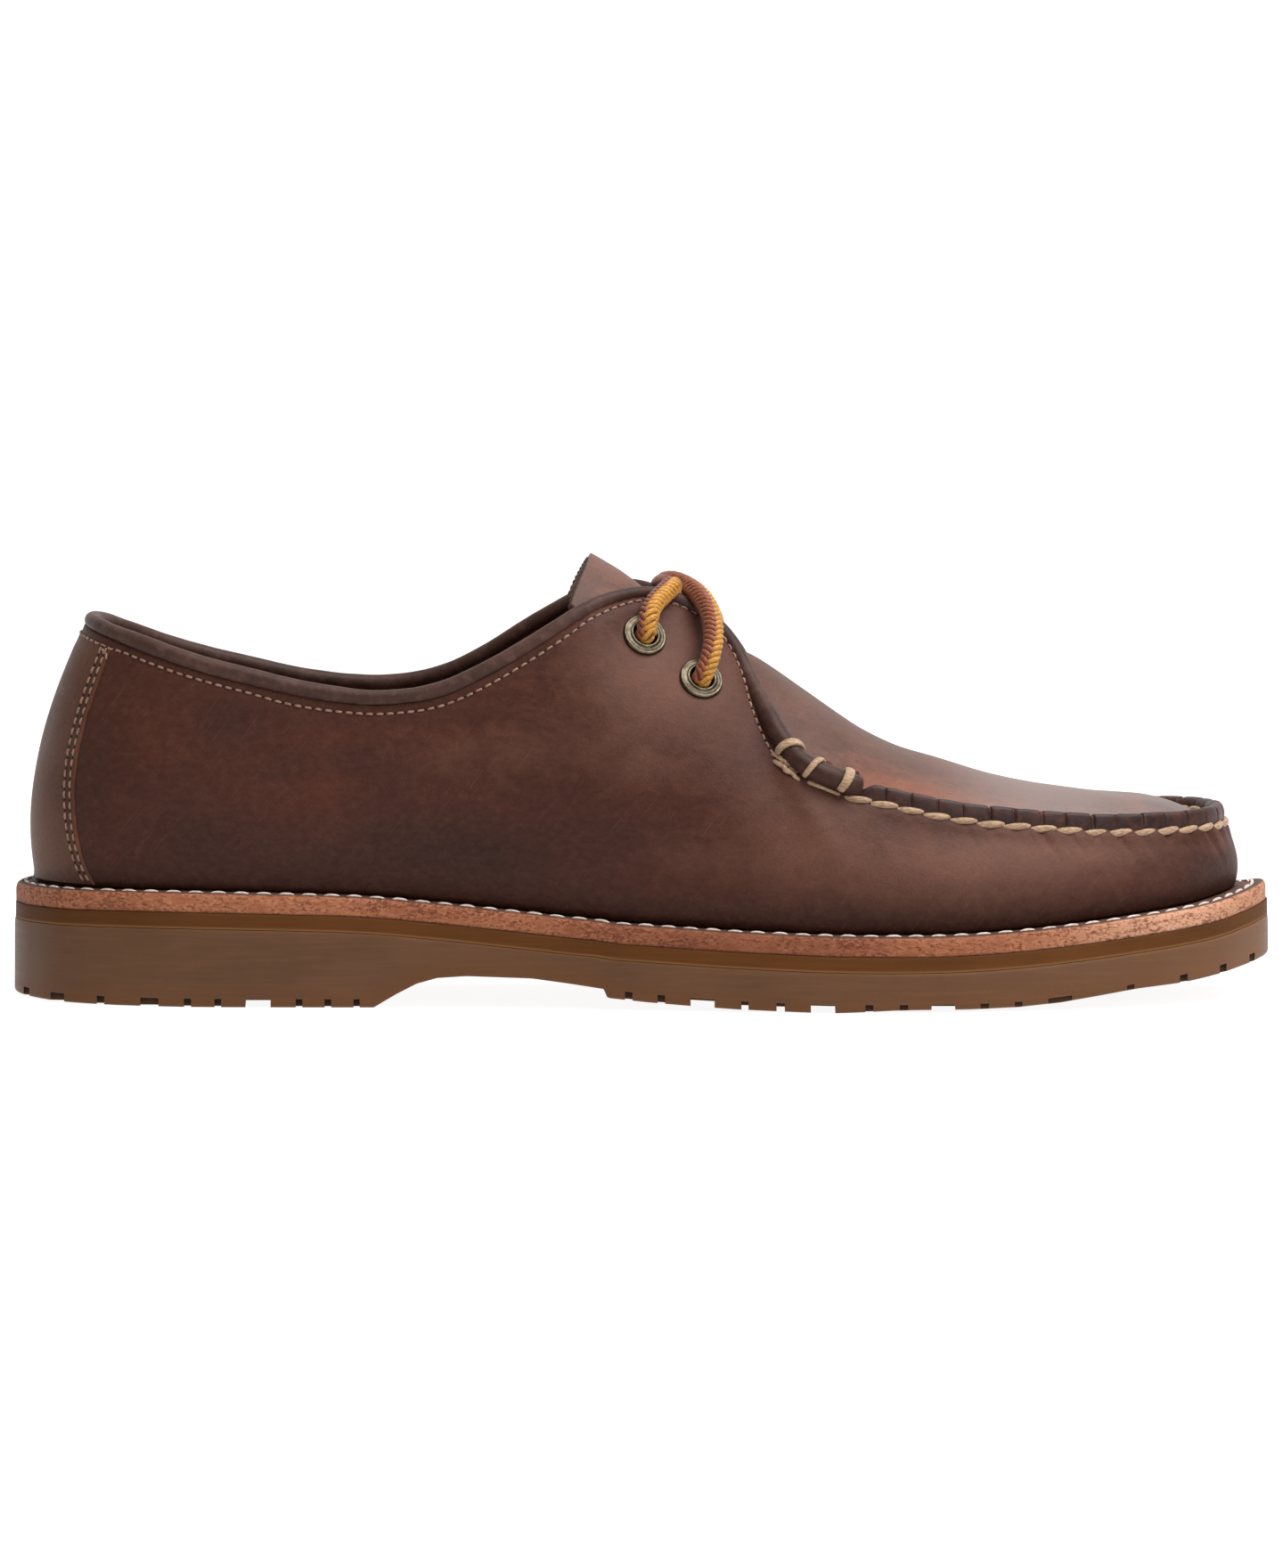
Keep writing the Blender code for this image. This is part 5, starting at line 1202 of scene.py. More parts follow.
# ----------------------------------------------------------------- moccasin ridge
def build_ridge():
    """Vamp edge folded up round the plug, nicked between the stitches."""
    cell = np.array([0.0, 0.10, 0.22, 0.42, 0.9, 1.8, 2.8, 3.8, 4.8, 5.6, 6.05, 6.28, 6.42]) / 6.6
    first, last = -3, N_STITCH + 2
    arcs, rel, ids = [], [], []
    for k in range(first, last):
        jog = 0.35 * math.sin(k * 2.9 + 0.4)
        for c in cell:
            arcs.append(STITCH_ARCS[0] + (k + c) * PITCH + jog + 0.6)
            rel.append(c)
            ids.append(k)
    arcs, rel, ids = map(np.array, (arcs, rel, ids))
    keep = (arcs > 3.0) & (arcs < SEAM_ARC[-1] - 3.0)
    arcs, rel, ids = arcs[keep], rel[keep], ids[keep]
    order = np.argsort(arcs)
    arcs, rel, ids = arcs[order], rel[order], ids[order]
    om = omega_at(arcs)
    foot, inw = seam_foot(om), seam_inward(om)
    tang = unit(np.gradient(foot, axis=0))
    h = ridge_height(om, 3.95) - 0.55 * smooth(236.0, 268.0, seam_foot(om)[..., 0])
    h = h * (1 + 0.05 * np.sin(ids * 4.1) + 0.03 * np.sin(ids * 2.2))
    gap = np.minimum(rel, 1 - rel) * PITCH                    # distance from the nick
    nick = np.exp(-(gap / 0.17) ** 2)
    depth = (0.55 + 0.25 * np.sin(ids * 1.7)) * smooth(205.0, 212.0, foot[:, 0])
    belly = 0.16 * np.sin(np.pi * rel) ** 0.5
    # profile: share of the width inward, share of the height, how much a nick bites
    prof = [(-0.10, -0.45, 0.0), (-0.09, -0.05, 0.1), (-0.075, 0.22, 0.7), (-0.055, 0.45, 1.0), (-0.02, 0.68, 1.0),
            (0.03, 0.84, 1.0), (0.10, 0.95, 1.0), (0.20, 1.0, 1.0), (0.36, 1.01, 0.9), (0.52, 0.99, 0.8),
            (0.68, 0.95, 0.6), (0.80, 0.86, 0.6), (0.89, 0.70, 0.6), (0.94, 0.50, 0.5), (0.97, 0.28, 0.3),
            (0.98, 0.05, 0.0), (0.98, -0.35, 0.0)]
    ring = []
    for u, v, bite in prof:
        # towards the middle of the section, so that a nick cuts outer face and top alike
        p = foot + inw * (u * RIDGE_WIDTH) + np.array([0, 0, 1.0]) * (v * h)[:, None]
        centre = foot + inw * (0.45 * RIDGE_WIDTH) + np.array([0, 0, 1.0]) * (0.35 * h)[:, None]
        away = unit(p - centre)
        wig = value_noise(p, 2.2, 21) * 0.07 + value_noise(p, 0.9, 22) * 0.035
        p = p + away * ((belly - nick * depth * 0.85) * bite + wig * (1 if v > 0 else 0))[:, None]
        ring.append(p)
    R = np.stack(ring, axis=1)
    n, m = R.shape[:2]
    quads = [grid_quads(n, m)]
    i = np.arange(n - 1)
    quads.append(np.stack([i * m + m - 1, (i + 1) * m + m - 1, (i + 1) * m, i * m], -1))
    quads = np.concatenate(quads)
    ends = [list(range(m))[::-1], [(n - 1) * m + k for k in range(m)]]
    ob = write_mesh("moccasin_ridge", R.reshape(-1, 3), quads, RIDGE_MAT, tris=ends)
    return ob


RIDGE = build_ridge()


def seam_stitches():
    """Thick waxed thread: swelling stitches outside the ridge and inside it."""
    m = 13
    u = np.linspace(-0.62, 0.62, m)
    outer, inner, upo, upi = [], [], [], []
    for k, s in enumerate(STITCH_ARCS):
        px = float(seam_foot(omega_at(np.array([s, s])))[0, 0])
        late = 0.55 * smooth(222.0, 236.0, px) * (1 - smooth(276.0, 288.0, px))
        om = omega_at(s + late + u * PITCH)
        foot, inw = seam_foot(om), seam_inward(om)
        bulge = np.maximum(0, np.cos(u / 0.62 * math.pi / 2)) ** 0.8
        jit = 0.10 * math.sin(k * 3.3)
        p = (foot - inw * (-0.25 + 1.05 * bulge)[:, None]
             + np.array([0, 0, 1.0]) * (-0.58 - 0.69 * smooth(238.0, 272.0, foot[:, 0]) + jit * 0.5
                                        + 0.95 * u + 0.25 * bulge)[:, None])
        outer.append(p)
        upo.append(-inw)
        q = (foot + inw * (RIDGE_WIDTH - 0.35 + 0.75 * bulge)[:, None]
             + np.array([0, 0, 1.0]) * (0.75 - 0.7 * u + 0.25 * bulge)[:, None])
        inner.append(q)
        upi.append(inw + np.array([0, 0, 0.6]))
    r = 0.90 * lens(m, 0.30, 0.70)
    jitter = 1 + 0.06 * np.sin(np.arange(len(outer)) * 2.7)
    a = tubes("seam_stitches_outer", np.array(outer), r[None] * jitter[:, None], np.array(upo), THREAD, 12, 0.85)
    b = tubes("seam_stitches_inner", np.array(inner), 0.8 * r[None] * jitter[:, None], np.array(upi), THREAD, 10, 0.8)
    # painted shade of the holes where the thread goes in: small dark marks on the surface
    pts = []
    for s in STITCH_ARCS[:-1] + PITCH * 0.5:
        om = omega_at(np.array([s - 0.5, s, s + 0.5]))
        pts.append(seam_foot(om) - seam_inward(om) * 0.28 + np.array([0, 0, -0.75 - 0.8 * float(smooth(226.0, 262.0, seam_foot(om)[1, 0]))]))
    tubes("seam_holes", np.array(pts), np.array([0.15, 0.55, 0.15])[None], np.array([0, 0, 1.0]), HOLE_SHADE, 8, 0.9)
    return a, b


seam_stitches()


# --------------------------------------------------------- rolled edge and rolls
def roll_axis(side, count=26):
    """Axis and radius of the thick roll that lies over the start of the seam."""
    kk = np.linspace(0.0, ROLL_RUN, count)
    om = side * np.minimum(1.0, 1.0 - kk * 0.0180 - 0.006)
    foot, edge, inw = seam_foot(om), apron_edge(om), seam_inward(om)
    mid = (foot + edge) / 2 - inw * (2.3 * (1 - smooth(0.50, 1.0, kk / ROLL_RUN)) + 0.5)[:, None]
    mid[:, 2] = foot[:, 2] + ridge_height(om, 3.4) - 0.55 - 0.45 * (1 - smooth(0.0, 0.4, kk / ROLL_RUN)) - 1.0 * smooth(0.55, 1.0, kk / ROLL_RUN)
    r = mix(2.55, ROLL_R, smooth(0.0, 0.30, kk / 5.0))
    t = unit(np.gradient(mid, axis=0))
    up = unit(np.array([0, 0, 1.0]) - t * t[:, 2:3])
    return mid + up * (r + GAP - 0.5)[:, None], r


def binding_path():
    x = RIM_P[:, 0]
    top = smooth(136.0, 152.0, x)
    front = smooth(158.0, 170.0, x)
    full = BINDING_R - 0.32 * top + 0.15 * front + 0.75 * smooth(176.0, 184.0, x)
    lat = (RIM_PSI < 0) * smooth(18.0, 32.0, x) * (1 - smooth(66.0, 90.0, x))
    full = full + 0.22 * lat
    rim = (RIM_P - RIM_N * (1.1 - 0.5 * top)[:, None] - RIM_D * (full + GAP - 0.30 * top - 0.95 * front - 0.5 * smooth(174.0, 182.0, x))[:, None]
           + np.array([0, 0, 0.5]) * lat[:, None])
    lat, rl = roll_axis(-1.0)
    med, rm = roll_axis(1.0)
    cut = 5
    path = np.concatenate([lat[::-1], rim[cut:-cut], med])
    rad = np.concatenate([rl[::-1], full[cut:-cut], rm])
    arc = arc_length(path)
    n = int(arc[-1] / 0.8)
    d = np.linspace(0, arc[-1], n)
    path = np.stack([np.interp(d, arc, path[:, k]) for k in range(3)], -1)
    rad = np.interp(d, arc, rad)
    for _ in range(14):
        path[1:-1] = path[1:-1] * 0.5 + (path[2:] + path[:-2]) * 0.25
        rad[1:-1] = rad[1:-1] * 0.5 + (rad[2:] + rad[:-2]) * 0.25
    return path, rad, d


BIND_PATH, BIND_RAD, BIND_ARC = binding_path()


def transport(path, first):
    """Side vectors carried along a path without twisting."""
    t = unit(np.gradient(path, axis=0))
    side = np.zeros_like(path)
    s = first - t[0] * (first @ t[0])
    side[0] = s / np.linalg.norm(s)
    for i in range(1, len(path)):
        s = side[i - 1] - t[i] * (side[i - 1] @ t[i])
        side[i] = s / np.linalg.norm(s)
    return t, side, np.cross(t, side)


def build_binding():
    path, rad = BIND_PATH, BIND_RAD
    n, sides = len(path), 20
    t, side, other = transport(path, np.array([0.3, -1.0, 0.2]))
    a = np.arange(sides) * 2 * math.pi / sides
    base = path[:, None, :] + 0.0
    dirs = side[:, None, :] * np.cos(a)[None, :, None] + other[:, None, :] * np.sin(a)[None, :, None]
    R = rad[:, None] * np.ones(sides)[None, :]
    # close the two ends over a rounded shoulder
    end = np.minimum(BIND_ARC, BIND_ARC[-1] - BIND_ARC)
    R = R * (0.86 + 0.14 * smooth(0.0, 1.6, end))[:, None]
    P = base + dirs * R[..., None]
    P = P + dirs * (0.07 * value_noise(P, 6.0, 31) + 0.04 * value_noise(P, 2.0, 32))[..., None]
    mats = [BINDING, ROLLED]
    i = np.arange(n - 1)[:, None]
    j = np.arange(sides)[None, :]
    k = (j + 1) % sides
    q = np.stack([i * sides + j, i * sides + k, (i + 1) * sides + k, (i + 1) * sides + j], -1).reshape(-1, 4)
    # the leather turns darker and smoother down the tab into the roll
    dark = (path[:, 0] > 175.0) & (path[:, 2] < 70.0)
    g = np.repeat(dark[:-1].astype(int), sides)
    caps = [list(range(sides))[::-1], [(n - 1) * sides + x for x in range(sides)]]
    ob = write_mesh("rolled_edge", P.reshape(-1, 3), q, mats,
                    groups=np.concatenate([g, [1, 1]]), tris=caps, sharp=50.0)
    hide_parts("collar_binding")
    return ob


ROLLED_EDGE = build_binding()


# wraps of thread over each roll: arc distance from its lower end, width, lean
WRAPS = [(4.4, 1.35, 2.0), (12.0, 0.85, 2.5), (20.9, 1.15, 2.2)]


def build_wraps():
    paths, rads, ups = [], [], []
    half = np.linspace(-0.74, 0.70, 27) * math.pi
    for side in (-1.0, 1.0):
        if side < 0:
            path, rad, arc = BIND_PATH, BIND_RAD, BIND_ARC
        else:
            path, rad, arc = BIND_PATH[::-1], BIND_RAD[::-1], BIND_ARC
        t = unit(np.gradient(path, axis=0))
        for at, width, lean in WRAPS:
            i = int(np.argmin(np.abs(arc - at)))
            c, r, ti = path[i], rad[i], t[i]
            up = unit(np.array([0, 0, 1.0]) - ti * ti[2])
            out = np.cross(ti, up)
            if out[1] * side < 0:
                out = -out
            ang = half                     # 0 is straight up, negative towards the outside
            ring = (c + up * (np.cos(ang) * (r + 0.38))[:, None] - out * (np.sin(ang) * (r + 0.38))[:, None]
                    + ti * (lean * (ang / math.pi) * -1.0)[:, None])
            norm = up * np.cos(ang)[:, None] - out * np.sin(ang)[:, None]
            paths.append(ring)
            ups.append(norm)
            rads.append(np.full(len(ang), width) * (0.75 + 0.25 * np.cos(ang * 0.7)))
    return tubes("roll_wraps", np.array(paths), np.array(rads), np.array(ups), THREAD, 12, 0.55)


build_wraps()


def cast(tree, x, z, side):
    """Outermost surface point at this x and z, coming in from one side, with its normal."""
    hit = tree.ray_cast(Vector((x, side * 90.0, z)), Vector((0, -side, 0)))
    if hit[0] is None:
        hit = tree.find_nearest(Vector((x, side * 40.0, z)))
    n = np.array(hit[1])
    return np.array(hit[0]), n if n[1] * side > 0 else -n


def lay(tree, points, side, count, lift):
    """Path over the wall through (x, z) points of the side view."""
    pts = resample([(x, z, 0.0) for x, z in points], 0.2)
    d = arc_length(pts)
    want = np.linspace(0, d[-1], count)
    xs, zs = np.interp(want, d, pts[:, 0]), np.interp(want, d, pts[:, 1])
    P, N = zip(*[cast(tree, x, z, side) for x, z in zip(xs, zs)])
    P, N = np.array(P), np.array(N)
    return P + N * np.broadcast_to(lift, (count,))[:, None], N


def lock_stitches():
    """Anchoring strands below each roll, before the regular seam begins."""
    runs = [([(184.0, 61.6), (187.4, 59.4), (190.6, 57.2)], 0.72), ([(184.4, 60.0), (187.6, 57.6), (190.9, 55.4)], 0.72),
            ([(192.6, 55.1), (196.4, 53.5), (200.6, 52.0)], 0.85)]
    m = 13
    bend = np.cos(np.linspace(-1, 1, m) * math.pi / 2)
    paths, ups, rads = [], [], []
    for side in (-1, 1):
        for pts, r in runs:
            P, N = lay(UPPER_TREE, pts, side, m, -0.35 + 1.0 * bend ** 0.6)
            paths.append(P)
            ups.append(N)
            rads.append(r * lens(m, 0.5, 0.5))
    tubes("lock_stitches", np.array(paths), np.array(rads), np.array(ups), THREAD, 12, 0.8)


lock_stitches()


def raw_fin():
    """Raw edge of the plug standing behind each roll."""
    rows = []
    n = 90
    for side in (-1.0, 1.0):
        kk = np.linspace(0.15, 5.6, n)
        om = side * (1.0 - kk * 0.0180 - 0.006)
        foot, edge, inw = seam_foot(om), apron_edge(om), seam_inward(om)
        mid = (foot + edge) / 2
        r = mix(BINDING_R, ROLL_R, smooth(-0.15, 0.45, kk / 5.0))
        arc = arc_length(mid)
        top = foot[:, 2] + ridge_height(om, 3.4) + r * 1.55 + GAP
        # lower where a wrap of thread ties it down
        for at in (1.0, 8.8, 16.0):
            top = top - 2.0 * np.exp(-((arc - at - 1.2) / 1.4) ** 2)
        top = top - 2.2 * smooth(14.0, 19.0, arc)
        top = top + 0.30 * value_noise(mid, 1.6, 41) + 0.20 * value_noise(mid, 0.7, 42) + 0.6
        fade = smooth(0.0, 0.05, np.linspace(0, 1, n)) * smooth(0.0, 0.12, np.linspace(1, 0, n))
        top = mix(edge[:, 2] + 1.0, top, fade)
        a = edge + inw * 0.35
        b = edge + inw * 1.25
        lean = inw * 0.5
        low = edge[:, 2] - 1.5
        ring = [vec(a[:, 0], a[:, 1], low), vec(a[:, 0], a[:, 1], (low + top) / 2),
                vec(*(a - lean * 0.6).T[:2], top - 0.25), vec(*((a + b) / 2 - lean * 0.6).T[:2], top),
                vec(*(b - lean * 0.6).T[:2], top - 0.2), vec(b[:, 0], b[:, 1], (low + top) / 2),
                vec(b[:, 0], b[:, 1], low)]
        rows.append(np.stack(ring, axis=1))
    verts, quads, ends = [], [], []
    for R in rows:
        o = sum(len(v) for v in verts)
        m = R.shape[1]
        i = np.arange(n - 1)
        quads.append(grid_quads(n, m, base=o))
        quads.append(np.stack([i * m + m - 1, (i + 1) * m + m - 1, (i + 1) * m, i * m], -1) + o)
        ends += [[o + k for k in range(m)][::-1], [o + (n - 1) * m + k for k in range(m)]]
        verts.append(R.reshape(-1, 3))
    write_mesh("plug_raw_edge", np.concatenate(verts), np.concatenate(quads), FIN_MAT,
               tris=ends)


FIN_MAT = plain_leather("plug_edge", srgb(88, 42, 34), srgb(58, 30, 26), srgb(120, 66, 50), (0.5, 0.65), 0.04, 0.4, 0.15)
raw_fin()


# ------------------------------------------------------------------- heel strip
def build_heel_strip():
    rows = np.linspace(0.012, 0.972, 84)
    edge = {}
    for side in (-1.0, 1.0):
        lo, hi = np.full(len(rows), 0.02), np.full(len(rows), 1.6)
        for _ in range(40):
            mid = (lo + hi) / 2
            p = wall_point(side * mid, rows)
            over = p[:, 0] > strip_edge(p[:, 2])
            hi, lo = np.where(over, mid, hi), np.where(over, lo, mid)
        edge[side] = (lo + hi) / 2
    a = np.linspace(0, 1, 60)
    fine = 1 - np.array([0.0, 0.006, 0.016, 0.030, 0.05, 0.08])[::-1]
    a = np.concatenate([a[a < 0.9], fine])
    lateral = -edge[-1.0][None, :] * a[::-1][:, None]
    medial = edge[1.0][None, :] * a[1:][:, None]
    psi = np.concatenate([lateral, medial])
    P = wall_point(psi, np.broadcast_to(rows, psi.shape))
    S, N = snap(UPPER_TREE, P)
    frac = np.concatenate([a[::-1], a[1:]])[:, None]
    # millimetres from the cut edge
    width = np.linalg.norm(P[1:] - P[:-1], axis=2)
    run = np.concatenate([np.zeros((1, len(rows))), np.cumsum(width, axis=0)])
    from_edge = np.minimum(run, run[-1:] - run)
    wob = 0.10 * value_noise(P, 3.0, 51)
    height = 0.20 + 0.55 * smooth(0.0, 0.55, from_edge + wob)
    height = height - 0.12 * np.exp(-((from_edge - 1.15) / 0.40) ** 2) - 0.14 * np.exp(-((from_edge - 2.5) / 0.45) ** 2)
    height = height + 0.08 * value_noise(P, 12.0, 52) * (frac < 0.93)
    height = height * (1 - 0.75 * smooth(0.90, 0.972, rows))[None, :]
    outer = S + N * height[..., None]
    inner = S - N * 0.7
    verts, quads, groups = shell(outer, inner)
    n, m = outer.shape[:2]
    top_quads = (n - 1) * (m - 1)
    col = np.arange(top_quads) // (m - 1)
    mid_edge = ((from_edge[:-1] + from_edge[1:]) / 2)[:, :-1].reshape(-1)
    g = np.zeros(len(quads), int)
    g[:top_quads] = np.where(mid_edge < 0.18, 1, 0)
    g[top_quads:] = 1
    z, x = verts[:, 2], verts[:, 0]
    fe = np.concatenate([from_edge.ravel()] * 2)
    # darker round the middle height and at the bottom, with a painted shadow band between the stitch rows and the edge
    dark = (0.45 * np.exp(-((z - 58) / 20) ** 2) + 0.5 * np.exp(-((fe - 2.1) / 0.8) ** 2)
            + 0.35 * np.exp(-((z - 29) / 4) ** 2))
    # painted reflection: paler at mid height, at the back and near the top
    pale = 0.35 * np.exp(-((z - 38) / 12) ** 2) + 0.45 * np.exp(-((x - 4) / 5) ** 2) + 0.35 * np.exp(-((z - 62) / 8) ** 2)
    ob = write_mesh("heel_strip", verts, quads, [STRIP_LEATHER, EDGE_MAT], groups=g,
                    attrs={"dark": dark, "warm": 0.15 * np.exp(-((z - 72) / 8) ** 2), "pale": pale,
                           "low": 0.5 * np.exp(-((z - 27.5) / 3.5) ** 2), "shine": np.zeros(len(x))}, sharp=60.0)
    return ob


STRIP_LEATHER = upper_leather("strip_leather", srgb(90, 57, 43), srgb(56, 38, 32), srgb(112, 64, 42),
                              srgb(120, 90, 76), 0.05, 1.0, 0.07)
STRIP = build_heel_strip()
STRIP_TREE = tree_of(STRIP)


def nearest_top(points, guess_normals):
    """Snap to whichever of upper and heel strip lies further out."""
    a, na = snap(UPPER_TREE, points)
    b, nb = snap(STRIP_TREE, points)
    da = np.einsum("...k,...k->...", a - points, guess_normals)
    near = np.linalg.norm(b - points, axis=-1) < 2.2
    db = np.where(near, np.einsum("...k,...k->...", b - points, guess_normals), -99)
    use = (db > da)[..., None]
    return np.where(use, b, a), np.where(use, nb, na)


def dashes(name, line, normals, pitch, length, radius, mat, lift=0.18, hole_shade=True,
           flat=0.75, hole_shade_r=0.36, phase=0.0):
    """A row of short stitches along a line that already lies on the surface."""
    arc = arc_length(line)
    centres = np.arange(phase + pitch / 2, arc[-1] - pitch / 2, pitch)
    m = 9
    u = np.linspace(-0.5, 0.5, m)
    at = centres[:, None] + u[None, :] * length
    P = np.stack([np.interp(at, arc, line[:, k]) for k in range(3)], -1)
    N = unit(np.stack([np.interp(at, arc, normals[:, k]) for k in range(3)], -1))
    bow = 1 - (2 * np.abs(u)) ** 3
    P = P + N * (lift - 0.45 + 0.45 * bow)[None, :, None]
    jitter = 1 + 0.08 * np.sin(np.arange(len(centres)) * 2.3)
    tubes(name, P, radius * lens(m, 0.45, 0.5)[None] * jitter[:, None], N, mat, 8, flat)
    # painted shade of the needle holes between the stitches
    if hole_shade:
        at = (centres[:-1] + pitch / 2)[:, None] + np.array([-0.34, 0.0, 0.34])[None, :]
        P = np.stack([np.interp(at, arc, line[:, k]) for k in range(3)], -1)
        N = unit(np.stack([np.interp(at, arc, normals[:, k]) for k in range(3)], -1))
        tubes(name + "_holes", P + N * 0.02, np.array([0.12, hole_shade_r, 0.12])[None], N, HOLE_SHADE, 8, 0.45)


def collar_stitching():
    """Topstitching under the rolled edge, all round the collar and down both tabs."""
    x = RIM_P[:, 0]
    off = herm([0, 60, 92, 125, 150, 165, 175, 182, 190], [1.0, 1.1, 1.5, 1.3, 0.9, 0.9, 1.1, 1.9, 2.4], x)
    guess = RIM_P + RIM_D * off[:, None] + RIM_N * 1.0
    line, nrm = nearest_top(guess, RIM_N)
    nrm = nrm * np.where((nrm * RIM_N).sum(-1, keepdims=True) < 0, -1, 1)
    for _ in range(3):
        line[1:-1] = line[1:-1] * 0.5 + (line[2:] + line[:-2]) * 0.25
    keep = slice(3, -3)
    dashes("collar_stitches", line[keep], nrm[keep], 2.5, 1.80, 0.30, FINE_THREAD)


collar_stitching()


def strip_stitching():
    for side in (-1, 1):
        for k, off in enumerate((1.15, 2.5)):
            # the medial edge of the collar is a little lower
            z = np.linspace(29.4, 86.5 if side < 0 else 84.6, 150)
            P, N = zip(*[cast(STRIP_TREE, float(strip_edge(h)) - off, h, side) for h in z])
            P, N = np.array(P), np.array(N)
            own = P[:, 1] * side > 3.0
            P, N = P[own], N[own]
            dashes("strip_stitches_%s_%d" % ("lateral" if side < 0 else "medial", k), np.array(P), np.array(N),
                   2.6, 1.9, 0.30, FINE_THREAD, 0.16)


strip_stitching()


# ---------------------------------------------------------------------- eyelets
def lathe(name, profile, origin, axis, mat, sides=72, dark=None):
    z = axis / np.linalg.norm(axis)
    x = unit(np.cross(z, np.array([0, 1.0, 0])))
    y = np.cross(z, x)
    a = np.arange(sides) * 2 * math.pi / sides
    prof = np.array(profile)
    ring = (origin + (x * np.cos(a)[:, None] + y * np.sin(a)[:, None])[:, None, :] * prof[None, :, 0:1]
            + z * prof[None, :, 1:2])
    m = len(prof)
    i = np.arange(sides)[:, None]
    j = np.arange(m)[None, :]
    q = np.stack([i * m + j, ((i + 1) % sides) * m + j, ((i + 1) % sides) * m + (j + 1) % m, i * m + (j + 1) % m], -1)
    attrs = None
    if dark is not None:
        attrs = {"dark": np.tile(np.array(dark, float), sides)}
    return write_mesh(name, ring.reshape(-1, 3), q.reshape(-1, 4), mat, attrs=attrs, sharp=70.0)


EYE_PROFILE = [
    (2.90, -1.6), (2.88, -0.3), (2.90, 0.25), (2.98, 0.62), (3.14, 0.86), (3.36, 0.94), (3.58, 0.88), (3.72, 0.74),
    (3.92, 0.66), (4.30, 0.62), (4.62, 0.58), (4.76, 0.50), (4.90, 0.56), (5.08, 0.58), (5.26, 0.48), (5.40, 0.26),
    (5.46, 0.0), (5.46, -0.4), (5.2, -0.62), (4.2, -0.7), (3.5, -0.75), (3.4, -1.7), (3.4, -3.6), (2.90, -3.6),
]
EYE_DARK = [0.95, 0.8, 0.45, 0.15, 0.0, 0.05, 0.30, 0.85, 0.72, 0.52, 0.60, 0.90, 0.45, 0.20, 0.20, 0.45, 0.8, 0.95,
            1.0, 1.0, 1.0, 1.0, 1.0, 1.0]

for (label, which), (p, n) in EYE.items():
    ob = lathe("eyelet_ring_%s_%s" % (label, which), EYE_PROFILE, p, n, BRASS, dark=EYE_DARK)
    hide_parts("eyelet_%s_%s" % (label, which))


def cut_bores():
    """Bores through both tabs, for the barrels."""
    verts, faces = [], []
    for (label, which), (p, n) in EYE.items():
        z = n / np.linalg.norm(n)
        x = unit(np.cross(z, np.array([0, 1.0, 0])))
        y = np.cross(z, x)
        o, k = len(verts), 32
        for h in (-7.0, 6.0):
            for i in range(k):
                a = 2 * math.pi * i / k
                verts.append(p + (x * math.cos(a) + y * math.sin(a)) * 3.3 + z * h)
        faces += [[o + i, o + (i + 1) % k, o + k + (i + 1) % k, o + k + i] for i in range(k)]
        faces += [[o + i for i in range(k)][::-1], [o + k + i for i in range(k)]]
    cutter = write_mesh("bore_cutter", verts, [], LINING, tris=faces, ride=False)
    carve(UPPER, cutter)


def carve(ob, cutter):
    mod = ob.modifiers.new("carve", "BOOLEAN")
    mod.operation, mod.solver, mod.object = "DIFFERENCE", "EXACT", cutter
    dg = bpy.context.evaluated_depsgraph_get()
    me = bpy.data.meshes.new_from_object(ob.evaluated_get(dg))
    ob.modifiers.remove(mod)
    old, ob.data = ob.data, me
    bpy.data.meshes.remove(old)
    bpy.data.objects.remove(cutter, do_unlink=True)
    return ob


cut_bores()


# ------------------------------------------------------------------------- lace
def lie_clear(path, trees, radius, fixed, others=None, apart=4.75, soft=None):
    pts = np.array(path, float)
    n = len(pts)
    for turn in range(34):
        for i in range(fixed, n - fixed):
            for tree in trees:
                q = Vector(pts[i])
                at, normal, _, dist = tree.find_nearest(q)
                away = q - at
                inside = away.dot(normal) < 0
                give = 1.5 if tree is soft else 0.0
                short = radius + 0.12 - give - (-dist if inside else dist)
                if short > 0:
                    step = normal if (inside or dist < 0.2) else away / dist
                    pts[i] += np.array(step) * min(short, 0.6)
            if others is not None:
                d = np.linalg.norm(others - pts[i], axis=1)
                k = int(np.argmin(d))
                if d[k] < apart:
                    away = (pts[i] - others[k]) / max(d[k], 0.3)
                    pts[i] += (away * 0.5 + np.array([0, 0, -0.5])) * min(apart - d[k], 0.5)
        if turn < 31:
            old = pts.copy()
            pts[fixed:n - fixed] = (old[fixed:n - fixed] * 0.7
                                    + (old[fixed - 1:n - fixed - 1] + old[fixed + 1:n - fixed + 1]) * 0.15)
    return pts


